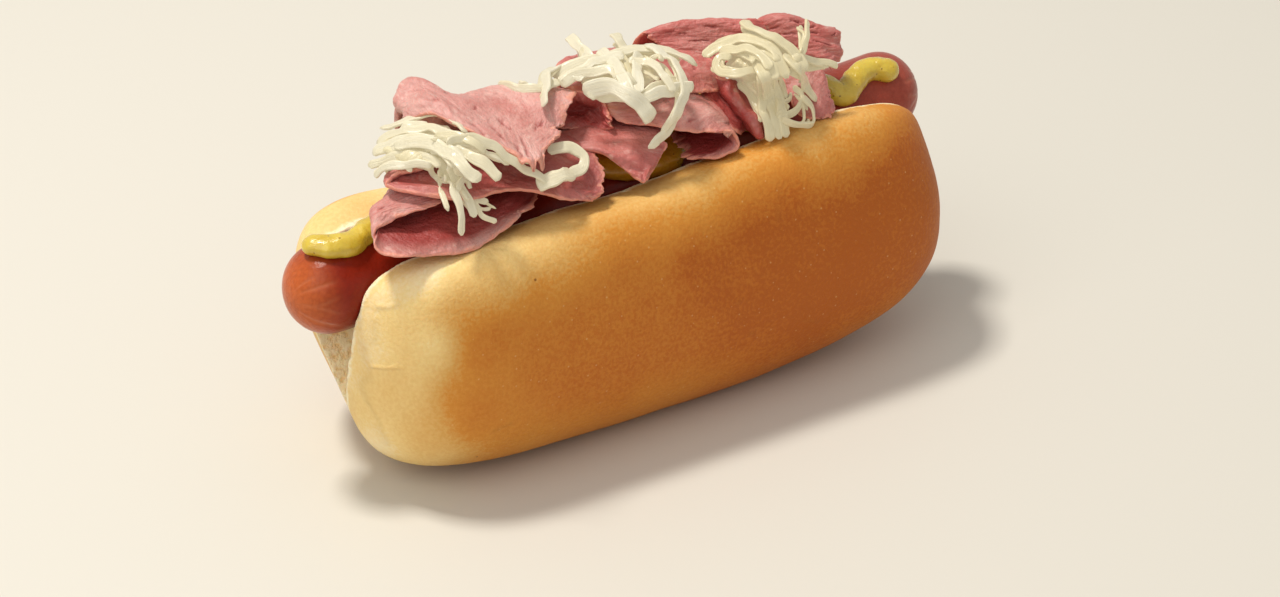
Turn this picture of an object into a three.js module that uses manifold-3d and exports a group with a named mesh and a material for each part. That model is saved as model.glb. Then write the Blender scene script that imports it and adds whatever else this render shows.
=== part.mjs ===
// A dressed hot dog: a soft roll cut open from the top, a frankfurter with a piped line of mustard, folded slices
// of corned beef and three tufts of sauerkraut. Millimetres, +Z up. The roll lies along X and rests on z = 0;
// the origin is under the middle of the frankfurter, and -Y is the front.
import * as THREE from "three";
import { ParametricGeometry } from "three/addons/geometries/ParametricGeometry.js";
import { mergeVertices } from "three/addons/utils/BufferGeometryUtils.js";
import Module from "manifold-3d";

const { sin, cos, abs, sign, min, max, hypot, PI } = Math;
const wasm = await Module();
wasm.setup();

// ---------------------------------------------------------------- driving dimensions
const GAP = 0.35; // clearance between neighbouring pieces

const ROLL = {
  centreX: 3, halfLength: 82.5, // the frankfurter reaches further past the left end
  halfWidth: 34.5, height: 58.6, midHeight: 26.6,
  flatHalf: 14, flatCut: 0.6, // half width of the flat that it rests on, and how far that is pressed in
  crestY: 22, lipY: 12, lipDrop: 1.6, // top of each lobe, and the lip where the cut starts
  frontCrest: [57.6, 68], backCrest: [54, 60.6], // heights of the two lobes at their left and right ends
  fromAbove: [9, 2], rightCrest: [4.6, 2], // how square the ends are, seen from above (the right one less at its crest),
  topLeft: [15, 2.4], topRight: [5.6, 2.1], // seen from the side above the middle,
  bottomLeft: [16, 3], bottomRight: [3.3, 2], // and below it, where they round up off the plate
  backLean: [3, -7], // the back lobe's left end reaches out at its top and draws in at its foot
  liftLeft: [5, 4.2], liftRight: [18, 3.2], // how far from the middle each end starts to lift, and how much it does
  tuckLeft: [10, 3.6], tuckHeight: 34, // from where the left end's foot is tucked up, how much, and up to what height
  around: 34, along: 26,
};
// The cut: a wedge down to the frankfurter's bed, which runs down to a narrow foot at both ends of the roll.
const SLOT = { floor: 14, floorHalf: 1.4, topHalf: 12.4, flare: 8, bed: 46, bedEnd: 57, footEnd: 74 };
const FRANK = {
  radius: 10.75, capX: 79.25, capLength: 10.75,
  left: [-1, 50], right: [3, 54], // y and z of the axis at the two caps
  sag: 0.8, around: 22, along: 20,
};
const MUSTARD = {
  width: 6.2, height: 5.2, lift: 1.3, around: 8, along: 56,
  // where the line turns: x, and the degrees round the frankfurter from its top, front negative
  turns: [[-83.5, 14], [-82.5, 4], [-81, -6], [-78.5, -15], [-75, -17], [-72.5, -14], [-69.5, -8], [-66, -2],
    [-62, 9], [-56, 12], [-43, -32], [-28, 4], [-12, -12], [-5, -32], [2, -44], [9.5, -46], [15, -24], [24, 0],
    [36, -34], [48, 4], [57.5, -14], [60.5, -33], [61.5, -41], [63, -43], [65.5, -37], [69.5, -27], [73.5, -24],
    [77.3, -33], [80.2, -40]],
};

// Each slice of corned beef is a loft through rails, from one edge of the slice to the other. Every rail is a few
// points [x, y, z] that the meat runs through; a rail that turns back on itself makes a fold.
const SLICE = { thickness: 1.7, rim: 0.62, corner: 5, ragged: 0.025, ruffle: 0.25, panel: 2 };
const SLICES = {
  beef_front_left: { steps: [16, 6], rails: [
    [[-28, -14, 62.5], [-39.5, -20, 63.5], [-52, -22, 61], [-62, -22.5, 62.5], [-71.5, -21.5, 64.5],
      [-76, -17, 66.5], [-73.5, -13.5, 68], [-67.5, -14, 70], [-58.5, -17, 70.5]],
    [[-28, -5, 65], [-36, -8, 65.4], [-44, -10, 65.5], [-52, -11, 65.8], [-60, -10.5, 66], [-67, -8, 66.8],
      [-69.5, -7, 69.4], [-64, -9, 71.6], [-55, -13, 72]],
    [[-30, 4, 68.5], [-38, 4, 68.5], [-45, 3, 68.5], [-51, 1.5, 68.5], [-56, 0, 68.5], [-59.5, -1, 69.2],
      [-60.5, -2, 70.6], [-57, -4, 72.4], [-50, -7, 72.6]],
  ] },
  beef_left: { steps: [16, 6], rails: [
    [[-18, -22, 62.8], [-23, -21.5, 64], [-32, -20, 68], [-39.5, -17.5, 70.5], [-51.5, -18.5, 72], [-62, -14, 74],
      [-67, -7, 75], [-63.5, -8, 77], [-55, -12, 78]],
    [[-15.5, -20, 65.8], [-21, -18, 67], [-30.5, -15, 69.5], [-38.5, -12, 71], [-49, -12, 73.5], [-59, -9, 75],
      [-63.5, -4, 75], [-60.5, -5, 77], [-53, -8, 78]],
    [[-14, -12, 71], [-18, -7, 73], [-24, -4, 74.2], [-30, -2, 74.2], [-38, 0, 74.2], [-47, 1, 75.2], [-56, 1, 76.8],
      [-52, 0, 78.2], [-47, -2, 78.8]],
    [[-14, -4, 68], [-18, 3, 66], [-24, 8, 62], [-30, 11, 59], [-38, 12, 57.5], [-47, 12, 57.5], [-56, 12, 58],
      [-52, 11, 59.5], [-47, 10, 61]],
  ] },
  beef_top_left: { steps: [13, 9], rails: [
    [[-50, 8, 80], [-53.5, 4.5, 83], [-50, 1, 85], [-47, -8, 84], [-41.5, -15, 80], [-36.5, -21.5, 77.5],
      [-30, -18, 78.5]],
    [[-49.5, 13, 80], [-52, 10.5, 83.5], [-47.5, 9, 86], [-43.5, 1, 84.5], [-35.5, -3, 81.5], [-28, -8, 79.5],
      [-21, -11, 78]],
    [[-48.5, 17.5, 80], [-49.5, 16.5, 83.5], [-46.5, 17, 85.5], [-40, 10, 83], [-30.5, 7, 82.8], [-21, 3, 83],
      [-13, -3, 82.5]],
    [[-46, 22, 57], [-47.5, 22, 58.5], [-42, 23, 57.5], [-35, 22, 56.3], [-27, 22, 56.6], [-17, 21, 57], [-8, 19, 57.4]],
  ] },
  beef_top_fold: { steps: [6, 5], rails: [
    [[-20.5, -2, 79.8], [-13.5, -3, 82], [-9.5, -4, 81], [-7.5, -6, 79], [-7.5, -9, 76.5]],
    [[-19, 2, 75.5], [-10.5, 2, 75], [-7.5, 0, 75], [-7, -4.5, 75], [-7.5, -9.5, 75.2]],
    [[-21, -3, 74.2], [-14, -3.5, 73.2], [-11, -5, 72.5], [-9, -7, 72.8], [-7.5, -10, 74]],
  ] },
  beef_tongue: { steps: [6, 9], rails: [
    [[-21, 3, 73], [-4, -2, 73], [10.5, -8, 70]],
    [[-21.5, -7, 72.5], [-7.5, -11, 71.5], [6, -14, 69.5]],
    [[-14, -13.5, 71], [-7, -16, 69.5], [2, -17, 68]],
    [[-9.5, -18, 67], [-5.5, -19, 66.5], [-2, -19.5, 66.5]],
    [[-7.5, -21, 65], [-6.5, -21.5, 64.5], [-5.5, -21.5, 65]],
  ] },
  beef_middle: { steps: [14, 6], rails: [
    [[-9.5, -7, 75.5], [0.5, -13, 73], [8, -17, 72], [14.5, -19.5, 71.5], [19.5, -20, 68.5], [20.5, -20.5, 65.5],
      [15, -20.5, 64.2], [5.5, -17.5, 64.2]],
    [[-9.5, 0, 79], [5.5, -5, 76.4], [14, -5, 75.4], [19.5, -7, 73.5], [21.5, -10, 70.5], [22, -12, 67.5],
      [18.5, -13, 65], [10, -12, 64]],
    [[-5, 18, 66], [3, 17, 66], [11, 15, 67], [16, 12, 68], [19, 8, 68.5], [20, 4, 68], [18, 0, 66], [10, -2, 65]],
  ] },
  beef_crown: { steps: [9, 7], rails: [
    [[-13, -2, 80], [0, -6, 79.4], [12, -8, 77.5], [24, -8, 71.8]],
    [[-13, 6, 81], [1, 4, 81.4], [14, 1, 80], [30, -2, 75.2]],
    [[-9, 13, 81], [2, 13, 81.5], [15, 10, 80.3], [29, 6, 76]],
    [[-6, 20, 58], [4, 20, 58.4], [15, 19.5, 59], [27, 17, 58.2]],
  ] },
  beef_pleated: { steps: [12, 6], rails: [
    [[17, -5, 75.2], [25, -1.5, 76], [28, -6, 76], [32, -3.5, 74], [38, -5, 70.5]],
    [[21, -9, 72], [26, -5.5, 72], [27, -11, 72.5], [31, -7.5, 71], [36, -10, 68]],
    [[22.5, -13, 68], [28, -9.5, 68], [28, -15, 69], [32, -11, 67.5], [34.5, -14, 65.5]],
    [[24, -17, 65], [29, -12.5, 64], [29, -18.5, 64.5], [32.5, -13.5, 63.5], [33.5, -17, 62.5]],
  ] },
  beef_front_right: { steps: [6, 6], rails: [
    [[43, -5, 73], [49.5, -7, 74.5], [53.5, -8, 74.5]],
    [[42, -10, 70], [48, -12.5, 70.5], [52, -14, 70]],
    [[40.5, -17, 66], [46, -19.5, 66], [50, -20.5, 66.5]],
  ] },
  beef_back: { steps: [10, 8], rails: [
    [[22.5, 7, 76.5], [29.5, 4, 76], [36, 0, 75], [41.5, -3, 75.5], [46.5, -3, 75.5]],
    [[19, 12, 80], [27, 9, 80], [34, 6, 80], [40, 2, 80], [45.5, 2, 80]],
    [[16.5, 15, 82.5], [25, 12.5, 83.5], [32, 9, 84], [39.5, 6, 83], [45.5, 5, 82.5]],
    [[15, 21.5, 61.5], [24, 22.5, 60], [32, 21, 58.8], [39, 20, 59], [45, 18, 59.4]],
  ] },
  beef_back_right: { steps: [9, 8], rails: [
    [[46, -2, 75.5], [50.5, -5, 74.5], [55, -8, 73.5], [59.5, -9, 72]],
    [[45, 3, 79.5], [49.5, -2, 79], [55, -5, 77.5], [61.5, -6.5, 75]],
    [[44, 6, 82.5], [50, 1, 83.5], [56, -2, 81], [62, -4.5, 79]],
    [[46, 17, 60], [51, 16, 59.8], [56, 14, 60], [60.5, 11, 61]],
  ] },
};

// Each tuft of sauerkraut is a low mound with its longest shreds lying on it and hanging off it. A shred is its
// width and the points that it runs through.
const SHRED = { thickness: 1.1, steps: 2, tolerance: 0.15 };
const TUFTS = {
  kraut_left: { centre: [-55, -3, 79.6], radii: [9, 9.5, 3.2], shreds: [
    [2.4, [-59.5, 8, 81], [-54.5, 4.5, 83], [-49, 3, 84], [-47, -4, 84.5], [-46.5, -9.5, 83.5]],
    [3, [-62, 5, 80], [-58, 0.5, 83], [-53, -4.5, 84.5], [-50, -11, 84]],
    [2.6, [-64.5, 3, 78.5], [-61, -1.5, 82], [-55.5, -6, 83.5], [-54, -12, 83]],
    [3.6, [-62, -3, 82], [-57, -8.5, 84], [-55.5, -15.5, 84], [-54.5, -22, 82.5], [-53, -25.5, 79.5]],
    [3, [-57, -10, 82.5], [-52.5, -14, 83], [-50.5, -18.5, 82.5], [-48.5, -21.5, 81], [-47, -24, 78.5]],
    [2.6, [-54.5, -13.5, 85], [-50, -13.5, 85], [-46, -15, 83.5], [-41.5, -17.5, 80], [-36.5, -19, 75.2],
      [-31.5, -20, 71.5]],
    [2.4, [-67, 0, 77], [-63, -3.5, 79.5], [-58.5, -8.5, 81], [-56.5, -14, 80.5]],
    [2.2, [-67, -2, 75.5], [-65.5, -4.5, 78], [-62, -8, 79.5], [-58, -12.5, 80]],
    [2.2, [-56.5, -12.5, 81.5], [-54, -13, 77], [-56, -19, 75.5], [-56.5, -22.5, 71.5], [-57, -24, 67]],
    [2.4, [-55.5, -16, 81], [-52.5, -15, 75], [-52.5, -19, 72.5], [-52.5, -21.5, 69.5]],
    [1.8, [-54.5, -17.5, 81], [-49.5, -14, 73.5], [-48.5, -17, 71], [-46.5, -18, 69.5]],
    [1.4, [-50, -14.5, 74.5], [-50, -18.5, 70.5], [-49.5, -21, 68], [-47, -22.5, 66.5]],
    [2.6, [-26, -11, 74], [-23.5, -12.5, 75], [-20.5, -14.5, 74], [-19.5, -16, 72.5], [-21, -17.5, 71],
      [-24.5, -18.5, 71], [-28.5, -19.5, 71.5]],
    [5.2, [-33.5, -20, 71.8], [-30.5, -20.5, 72], [-26.5, -19.5, 72]],
  ] },
  kraut_middle: { centre: [1, 0, 82], radii: [11, 8, 3], shreds: [
    [3, [-5, 13, 88.5], [-5.5, 7.5, 87.5], [-5.5, 1.5, 86]],
    [3, [4, 8.5, 88.5], [4, 3.5, 87.5], [3.5, -1.5, 86]],
    [2.4, [-27.5, 8.5, 84], [-25.5, 2, 84.5], [-20.5, -1, 84.5], [-16, -0.5, 85]],
    [3.4, [-12.5, 5, 85.5], [-17, 3, 86], [-21, -2, 85.5], [-25, -7.5, 84]],
    [3.2, [-15.5, 3, 84], [-11.5, 2, 86.5], [-3.5, 0, 87.5], [6, -1, 87.5], [11.5, -4, 87], [14.5, -7.5, 85.5],
      [16.5, -9, 83.5]],
    [3, [-16.5, -1, 84.5], [-11, -3, 86.5], [-6, -6, 87], [-4, -10.5, 86]],
    [4.4, [-14.5, -7.5, 84.5], [-9.5, -10.5, 85.5], [-6.5, -15.5, 84.5], [-3.5, -17.5, 81], [-2, -18, 78]],
    [3, [4.5, -2, 87.5], [-1, -10, 87], [-4, -16, 85]],
    [3.2, [7.5, -0.5, 88], [9, -6.5, 87.5], [8.5, -14, 86.5], [7, -18, 83.5], [4, -20, 79.5], [2, -18, 74],
      [-4, -19.5, 72.5]],
    [3.4, [-4, -16, 82.5], [0.5, -17, 84], [6, -17.5, 84], [9.5, -17.5, 83]],
    [2.4, [-0.5, -5.5, 88], [3, -9, 88], [3, -15.5, 87], [3, -19, 84.5]],
    [3, [-3, 3, 88], [-4, -5.5, 88], [-5.5, -12, 87], [-6.5, -16, 85]],
    [3, [-13.5, -3, 85.5], [-7, -1, 87.5], [0, -3.5, 88.5]],
  ] },
  kraut_right: { centre: [33, -7, 78.4], radii: [6.5, 5.5, 3.8], shreds: [
    [3.4, [34, -2.5, 88], [34.5, -8, 87.5], [37, -12.5, 86.5], [39, -16, 84.5], [40.5, -20, 80.5]],
    [3.6, [22.5, -3, 82], [27, -4, 84.5], [31.5, -7.5, 86], [34, -12.5, 86], [34.5, -17, 84], [34, -21, 80.5]],
    [2.4, [28.5, -17, 82.5], [24, -16, 82.5], [21.5, -12.5, 82], [21.5, -9.5, 82.5], [23, -9, 83.5],
      [25.5, -10.5, 84]],
    [3.4, [29.5, -15, 84.5], [28, -20.5, 82], [33.5, -15, 72.5], [32.5, -19, 68.5], [32, -21.5, 65]],
    [2.6, [30, -9, 76.5], [31.5, -13, 74], [30.5, -17, 70.5], [30, -19.5, 68], [29.5, -21, 65]],
    [3, [31, -18.5, 82], [36, -14.5, 73.5], [35, -18.5, 69.5], [34, -21.5, 65]],
    [1.8, [47.5, -10.5, 88], [44, -14.5, 86.5], [41.5, -16.5, 83.5], [39.5, -16.5, 82]],
    [3.2, [36.5, -16, 84], [37.5, -20.5, 82], [45.5, -13.5, 72], [46, -16.5, 69]],
    [2.2, [41.5, -13.5, 73.5], [43, -15, 71], [41, -17, 69.5], [37, -18.5, 69], [33, -18.5, 70.5]],
    [2, [43, -15.5, 71], [44, -17.5, 68.5], [43, -20, 66.5], [39.5, -21.5, 66.5], [36, -21, 68], [34, -19.5, 69.5]],
    [3, [29, -11, 85], [30, -18, 85], [30, -22, 81.5]],
    [2.6, [25, -6.5, 84], [28, -11, 86], [29.5, -16, 86], [29.5, -20.5, 84]],
    [2.2, [39, -15.5, 83], [44.5, -16.5, 80.5], [48.5, -16.5, 79], [52.5, -16.5, 77]],
  ] },
};

// ---------------------------------------------------------------- solids
// A closed mesh as a manifold-3d solid: equal points merged, collapsed faces dropped.
function solidOf(geometry) {
  const bare = geometry.index ? geometry.toNonIndexed() : geometry.clone();
  const points = new THREE.BufferGeometry().setAttribute("position", bare.getAttribute("position"));
  const merged = mergeVertices(points, 1e-4);
  const index = merged.index.array;
  const faces = [];
  for (let i = 0; i < index.length; i += 3) {
    const [a, b, c] = [index[i], index[i + 1], index[i + 2]];
    if (a !== b && b !== c && c !== a) faces.push(a, b, c);
  }
  const made = new wasm.Manifold(new wasm.Mesh({
    numProp: 3,
    vertProperties: merged.attributes.position.array,
    triVerts: new Uint32Array(faces),
  }));
  return made;
}

// The same with its faces turned outwards.
function closedSolid(geometry) {
  const made = solidOf(geometry);
  if (made.volume() > 0) return made;
  const bare = geometry.index ? geometry.toNonIndexed() : geometry.clone();
  const p = bare.getAttribute("position");
  const turned = new Float32Array(p.count * 3);
  for (let i = 0; i < p.count; i += 3) {
    [0, 2, 1].forEach((k, j) => turned.set([p.getX(i + k), p.getY(i + k), p.getZ(i + k)], (i + j) * 3));
  }
  return solidOf(new THREE.BufferGeometry().setAttribute("position", new THREE.BufferAttribute(turned, 3)));
}

function geometryOf(solid) {
  const mesh = solid.getMesh();
  const g = new THREE.BufferGeometry();
  const v = new Float32Array(mesh.numVert * 3);
  for (let i = 0; i < mesh.numVert; i++) v.set(mesh.vertProperties.subarray(i * mesh.numProp, i * mesh.numProp + 3), i * 3);
  g.setAttribute("position", new THREE.BufferAttribute(v, 3));
  g.setIndex(new THREE.BufferAttribute(mesh.triVerts, 1));
  const flat = g.toNonIndexed();
  flat.computeVertexNormals();
  return flat;
}

// The main body of what a cut leaves, without its slivers.
const mainBody = (solid, tolerance = 0.04) => solid.simplify(tolerance).decompose().sort((a, b) => b.volume() - a.volume())[0];
const mix = ([from, to], t) => from + (to - from) * t;
const smooth = (t) => { const c = min(1, max(0, t)); return c * c * (3 - 2 * c); };

// ---------------------------------------------------------------- the roll
// Half of the roll's cross-section as one path from the middle of the bottom to the middle of the top.
const rollSection = (() => {
  const { halfWidth: w, height: h, flatHalf: f, crestY, lipY, lipDrop } = ROLL;
  const path = new THREE.CurvePath();
  const v = (y, z) => new THREE.Vector2(y, z);
  path.add(new THREE.LineCurve(v(0, 0), v(f, 0)));
  path.add(new THREE.CubicBezierCurve(v(f, 0), v(f + 10, 0), v(w - 0.8, 10), v(w, 28)));
  path.add(new THREE.CubicBezierCurve(v(w, 28), v(w + 0.3, 44), v(crestY + 8.5, h), v(crestY, h)));
  path.add(new THREE.CubicBezierCurve(v(crestY, h), v(crestY - 5, h), v(lipY + 2, h - lipDrop), v(lipY, h - lipDrop)));
  path.add(new THREE.LineCurve(v(lipY, h - lipDrop), v(0, h - lipDrop - 2)));
  return path;
})();

function rollPoint(u, v, target) {
  const { centreX, halfLength: a, midHeight: mid, frontCrest, backCrest, backLean } = ROLL;
  const side = u < 0.5 ? 1 : -1;
  const half = rollSection.getPointAt(min(1, max(0, u < 0.5 ? 2 * u : 2 - 2 * u)));
  const t = 2 * v - 1;
  const along = sign(t) * (1 - (1 - abs(t)) ** 2.1);
  const shrink = ([power, root]) => (1 - abs(along) ** power) ** (1 / root);
  const upper = half.y > mid;
  const low = shrink(along > 0 ? (upper ? ROLL.topRight : ROLL.bottomRight) : (upper ? ROLL.topLeft : ROLL.bottomLeft));
  const crest = mix(side > 0 ? backCrest : frontCrest, (along + 1) / 2) + 0.45 * sin(7 * along + side) + 0.3 * sin(15 * along);
  const rise = upper ? (crest - mid) / (ROLL.height - mid) : 1;
  const top = along > 0 ? smooth((half.y - mid) / (ROLL.height - mid)) ** 2 : 0;
  const y = side * half.x * mix([shrink(ROLL.fromAbove), shrink(ROLL.rightCrest)], top);
  const z = mid + (half.y - mid) * low * rise;
  const lean = mix([backLean[1], backLean[0]], smooth(z / 50)) * smooth(0.5 + y / 26) * max(0, -along) ** 3;
  const x = centreX + a * along - lean;
  const [from, most] = x > 0 ? ROLL.liftRight : ROLL.liftLeft;
  const lift = most * max(0, (abs(x) - from) / (a - from)) ** 2;
  const [start, highest] = ROLL.tuckLeft;
  const tuck = highest * max(0, (start - x) / (a + start)) ** 2 * (1 - smooth(z / ROLL.tuckHeight));
  target.set(x, y, z + lift + tuck - ROLL.flatCut);
}

const roll = closedSolid(new ParametricGeometry(rollPoint, ROLL.around, ROLL.along)).trimByPlane([0, 0, 1], 0);

// ---------------------------------------------------------------- the frankfurter
// Centre of the frankfurter at x: a straight line between its caps with a little sag.
function frankAxis(x) {
  const { capX, left, right, sag } = FRANK;
  const t = (x + capX) / (2 * capX);
  return [left[0] + (right[0] - left[0]) * t, left[1] + (right[1] - left[1]) * t - sag * sin(PI * min(1, max(0, t)))];
}

// Its radius at x: full between the caps, then round off to the tip.
function frankRadius(x, grow = 0) {
  const { radius, capX, capLength } = FRANK;
  const over = max(0, (abs(x) - capX) / (capLength + grow));
  return (radius + grow) * (max(0, 1 - over ** 2.1)) ** 0.5;
}

function frankSolid(grow = 0) {
  const { capX, capLength, around, along } = FRANK;
  const reach = capX + capLength + grow;
  return closedSolid(new ParametricGeometry((u, v, target) => {
    const x = reach * sin((2 * v - 1) * PI / 2);
    const [y, z] = frankAxis(x);
    const r = frankRadius(x, grow);
    const a = 2 * PI * u;
    target.set(x, y + r * sin(a), z + r * cos(a));
  }, around, along));
}
const frank = frankSolid();

// ---------------------------------------------------------------- the mustard
const mustardPath = new THREE.CatmullRomCurve3(MUSTARD.turns.map(([x, degrees]) => {
  const a = degrees * PI / 180;
  const [y, z] = frankAxis(x);
  const r = frankRadius(x) + MUSTARD.lift;
  return new THREE.Vector3(x, y + r * sin(a), z + r * cos(a));
}), false, "centripetal");

// A round bead that follows the path; its section leans with the frankfurter's surface.
function mustardSolid(grow = 0) {
  const { width, height, around, along } = MUSTARD;
  return closedSolid(new ParametricGeometry((u, v, target) => {
    const s = 0.5 - 0.5 * cos(PI * v);
    const centre = mustardPath.getPointAt(s);
    const ahead = mustardPath.getTangentAt(s);
    const [y, z] = frankAxis(centre.x);
    const out = new THREE.Vector3(0, centre.y - y, centre.z - z).normalize();
    const side = new THREE.Vector3().crossVectors(ahead, out).normalize();
    const round = (max(0, 1 - abs(2 * v - 1) ** 14)) ** 0.5;
    const a = 2 * PI * u;
    target.copy(centre)
      .addScaledVector(side, (width / 2 + grow) * round * sin(a))
      .addScaledVector(out, (height / 2 + grow) * round * cos(a));
  }, around, along));
}

// ---------------------------------------------------------------- the corned beef
// Middle surface of a slice: (a, b) from -1 to 1 across the slice, corners rounded and edges a little ragged.
function slicePoint({ rails, key }, a, b) {
  const reach = max(abs(a), abs(b));
  const turn = Math.atan2(b, a);
  const rag = SLICE.ragged * (sin(5 * turn + key) + 0.8 * sin(11 * turn + 2.3 * key) + 0.6 * sin(17 * turn + 4.1 * key));
  const round = reach ? reach / hypot(abs(a) ** (SLICE.corner / 2), abs(b) ** (SLICE.corner / 2)) ** (2 / SLICE.corner) : 1;
  const k = round * (1 + (rag - SLICE.ragged) * reach ** 4);
  const [s, t] = [a, b].map((c) => min(1, max(0, 0.5 + 0.5 * c * k)));
  const across = rails.map((rail) => rail.getPoint(s));
  return new THREE.CatmullRomCurve3(across, false, "centripetal").getPoint(t);
}

// A thin wavy sheet of even thickness around that surface, its rim thinner.
function sliceSolid(slice, grow = 0) {
  const [m, n] = slice.steps;
  const half = SLICE.thickness / 2;
  const faces = [-1, 1].map((side) => {
    const rows = [];
    for (let j = 0; j <= n; j++) {
      for (let i = 0; i <= m; i++) {
        const [a, b] = [-1 + (2 * i) / m, -1 + (2 * j) / n];
        const e = 0.02;
        const p = slicePoint(slice, a, b);
        const [a0, a1, b0, b1] = [max(-1, a - e), min(1, a + e), max(-1, b - e), min(1, b + e)];
        const du = slicePoint(slice, a1, b).sub(slicePoint(slice, a0, b));
        const dv = slicePoint(slice, a, b1).sub(slicePoint(slice, a, b0));
        const out = du.cross(dv).normalize();
        const ruffle = SLICE.ruffle * (sin(7 * a + 5 * b + slice.key) + sin(4 * a - 9 * b + 2 * slice.key));
        const onRim = max(abs(a), abs(b)) > 0.999;
        const rim = onRim ? SLICE.rim : 1;
        if (onRim) p.addScaledVector(p.clone().sub(slicePoint(slice, 0.96 * a, 0.96 * b)).normalize(), grow);
        rows.push(p.addScaledVector(out, ruffle + side * (half * rim + grow)));
      }
    }
    return rows;
  });
  const at = (side, i, j) => side * (m + 1) * (n + 1) + j * (m + 1) + i;
  // The sheet is joined from narrow panels, so that the layers of a tight pleat merge where they meet.
  const panels = [];
  for (let from = 0; from < m; from += SLICE.panel) {
    const to = min(m, from + SLICE.panel);
    const index = [];
    const quad = (a, b, c, d) => index.push(a, b, c, a, c, d);
    for (let j = 0; j < n; j++) {
      for (let i = from; i < to; i++) {
        quad(at(1, i, j), at(1, i + 1, j), at(1, i + 1, j + 1), at(1, i, j + 1));
        index.push(at(0, i, j), at(0, i + 1, j + 1), at(0, i + 1, j), at(0, i, j), at(0, i, j + 1), at(0, i + 1, j + 1));
      }
      quad(at(0, from, j + 1), at(0, from, j), at(1, from, j), at(1, from, j + 1));
      quad(at(0, to, j + 1), at(1, to, j + 1), at(1, to, j), at(0, to, j));
    }
    for (let i = from; i < to; i++) {
      quad(at(0, i, 0), at(0, i + 1, 0), at(1, i + 1, 0), at(1, i, 0));
      quad(at(0, i + 1, n), at(0, i, n), at(1, i, n), at(1, i + 1, n));
    }
    const panel = new THREE.BufferGeometry().setFromPoints(faces.flat());
    panel.setIndex(index);
    panels.push(closedSolid(panel.toNonIndexed()));
  }
  return panels.reduce((sheet, panel) => sheet.add(panel));
}

// ---------------------------------------------------------------- the sauerkraut
// A flat strip along its path with square ends; its flat side faces away from the middle of the tuft.
function shredSolid([width, ...points], centre) {
  const path = new THREE.CatmullRomCurve3(points.map((p) => new THREE.Vector3(...p)), false, "centripetal");
  const n = SHRED.steps * (points.length - 1);
  return closedSolid(new ParametricGeometry((u, v, target) => {
    const row = Math.round(v * (n + 2)) - 1;
    const s = min(1, max(0, row / n));
    const p = path.getPointAt(s);
    const ahead = path.getTangentAt(s);
    const side = new THREE.Vector3().crossVectors(ahead, p.clone().sub(centre)).normalize();
    const out = side.clone().cross(ahead).normalize();
    const corner = Math.round(u * 4) % 4;
    const inside = row < 0 || row > n ? 0 : 1;
    target.copy(p)
      .addScaledVector(side, inside * (corner === 0 || corner === 3 ? 1 : -1) * width / 2)
      .addScaledVector(out, inside * (corner < 2 ? 1 : -1) * SHRED.thickness / 2);
  }, 4, n + 2));
}

function tuftSolid({ centre, radii, shreds }) {
  const [middle, size] = [new THREE.Vector3(...centre), new THREE.Vector3(...radii)];
  const mound = new THREE.SphereGeometry(1, 12, 6).rotateX(PI / 2).scale(...size).translate(...middle);
  const inner = middle.clone().sub(new THREE.Vector3(0, 0, 8));
  return wasm.Manifold.union([closedSolid(mound), ...shreds.map((shred) => shredSolid(shred, inner))]);
}

// ---------------------------------------------------------------- assembly
const slotShape = (() => {
  const { floor, floorHalf, topHalf, flare } = SLOT;
  const top = ROLL.height - ROLL.lipDrop;
  const s = new THREE.Shape();
  s.moveTo(-topHalf - flare, top + 24);
  s.lineTo(-topHalf, top - 1);
  s.quadraticCurveTo(-topHalf + 2, (top + floor) / 2, -floorHalf, floor);
  s.absarc(0, floor, floorHalf, PI, 2 * PI, false);
  s.quadraticCurveTo(topHalf - 2, (top + floor) / 2, topHalf, top - 1);
  s.lineTo(topHalf + flare, top + 24);
  s.closePath();
  return s;
})();
const wedge = closedSolid(new THREE.ExtrudeGeometry(slotShape, { depth: 200, steps: 1, bevelEnabled: false, curveSegments: 7 })
  .rotateX(PI / 2).rotateZ(PI / 2).translate(-100, 0, 0));

// The cut opens down to the frankfurter's bed, and slopes from there to its foot at both ends.
const slope = (SLOT.bed - SLOT.floor) / (SLOT.footEnd - SLOT.bedEnd);
const above = (side) => {
  const tilt = hypot(slope, 1);
  return wedge.trimByPlane([side * slope / tilt, 0, 1 / tilt], (SLOT.floor + slope * SLOT.footEnd) / tilt);
};
const slot = wedge.trimByPlane([0, 0, 1], SLOT.bed).add(above(1)).add(above(-1));

const frankCutter = frankSolid(GAP);
const bun = mainBody(roll.subtract(slot).subtract(frankCutter));
const mustard = mainBody(mustardSolid().subtract(frankCutter).subtract(bun));

// The slices go on one by one, each kept clear of all that already lies there.
let laid = roll.scale([1.005, 1.01, 1.007]).subtract(slot).add(frankCutter).add(mustardSolid(GAP));
const beef = {};
Object.entries(SLICES).forEach(([name, { steps, rails }], key) => {
  const slice = {
    steps, key,
    rails: rails.map((rail) => new THREE.CatmullRomCurve3(rail.map((p) => new THREE.Vector3(...p)), false, "centripetal")),
  };
  beef[name] = mainBody(sliceSolid(slice).subtract(laid));
  laid = laid.add(sliceSolid(slice, GAP));
});

const kraut = {};
for (const [name, tuft] of Object.entries(TUFTS)) {
  kraut[name] = mainBody(tuftSolid(tuft).subtract(laid), SHRED.tolerance);
  laid = laid.add(kraut[name]);
}

const FINISH = {
  roll: { color: 0xd9a45c, roughness: 0.6, metalness: 0 },
  frank: { color: 0x9c3a24, roughness: 0.35, metalness: 0 },
  mustard: { color: 0xc8b022, roughness: 0.3, metalness: 0 },
  beef: { color: 0xc4686a, roughness: 0.5, metalness: 0 },
  kraut: { color: 0xe9dfc0, roughness: 0.35, metalness: 0 },
};

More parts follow.
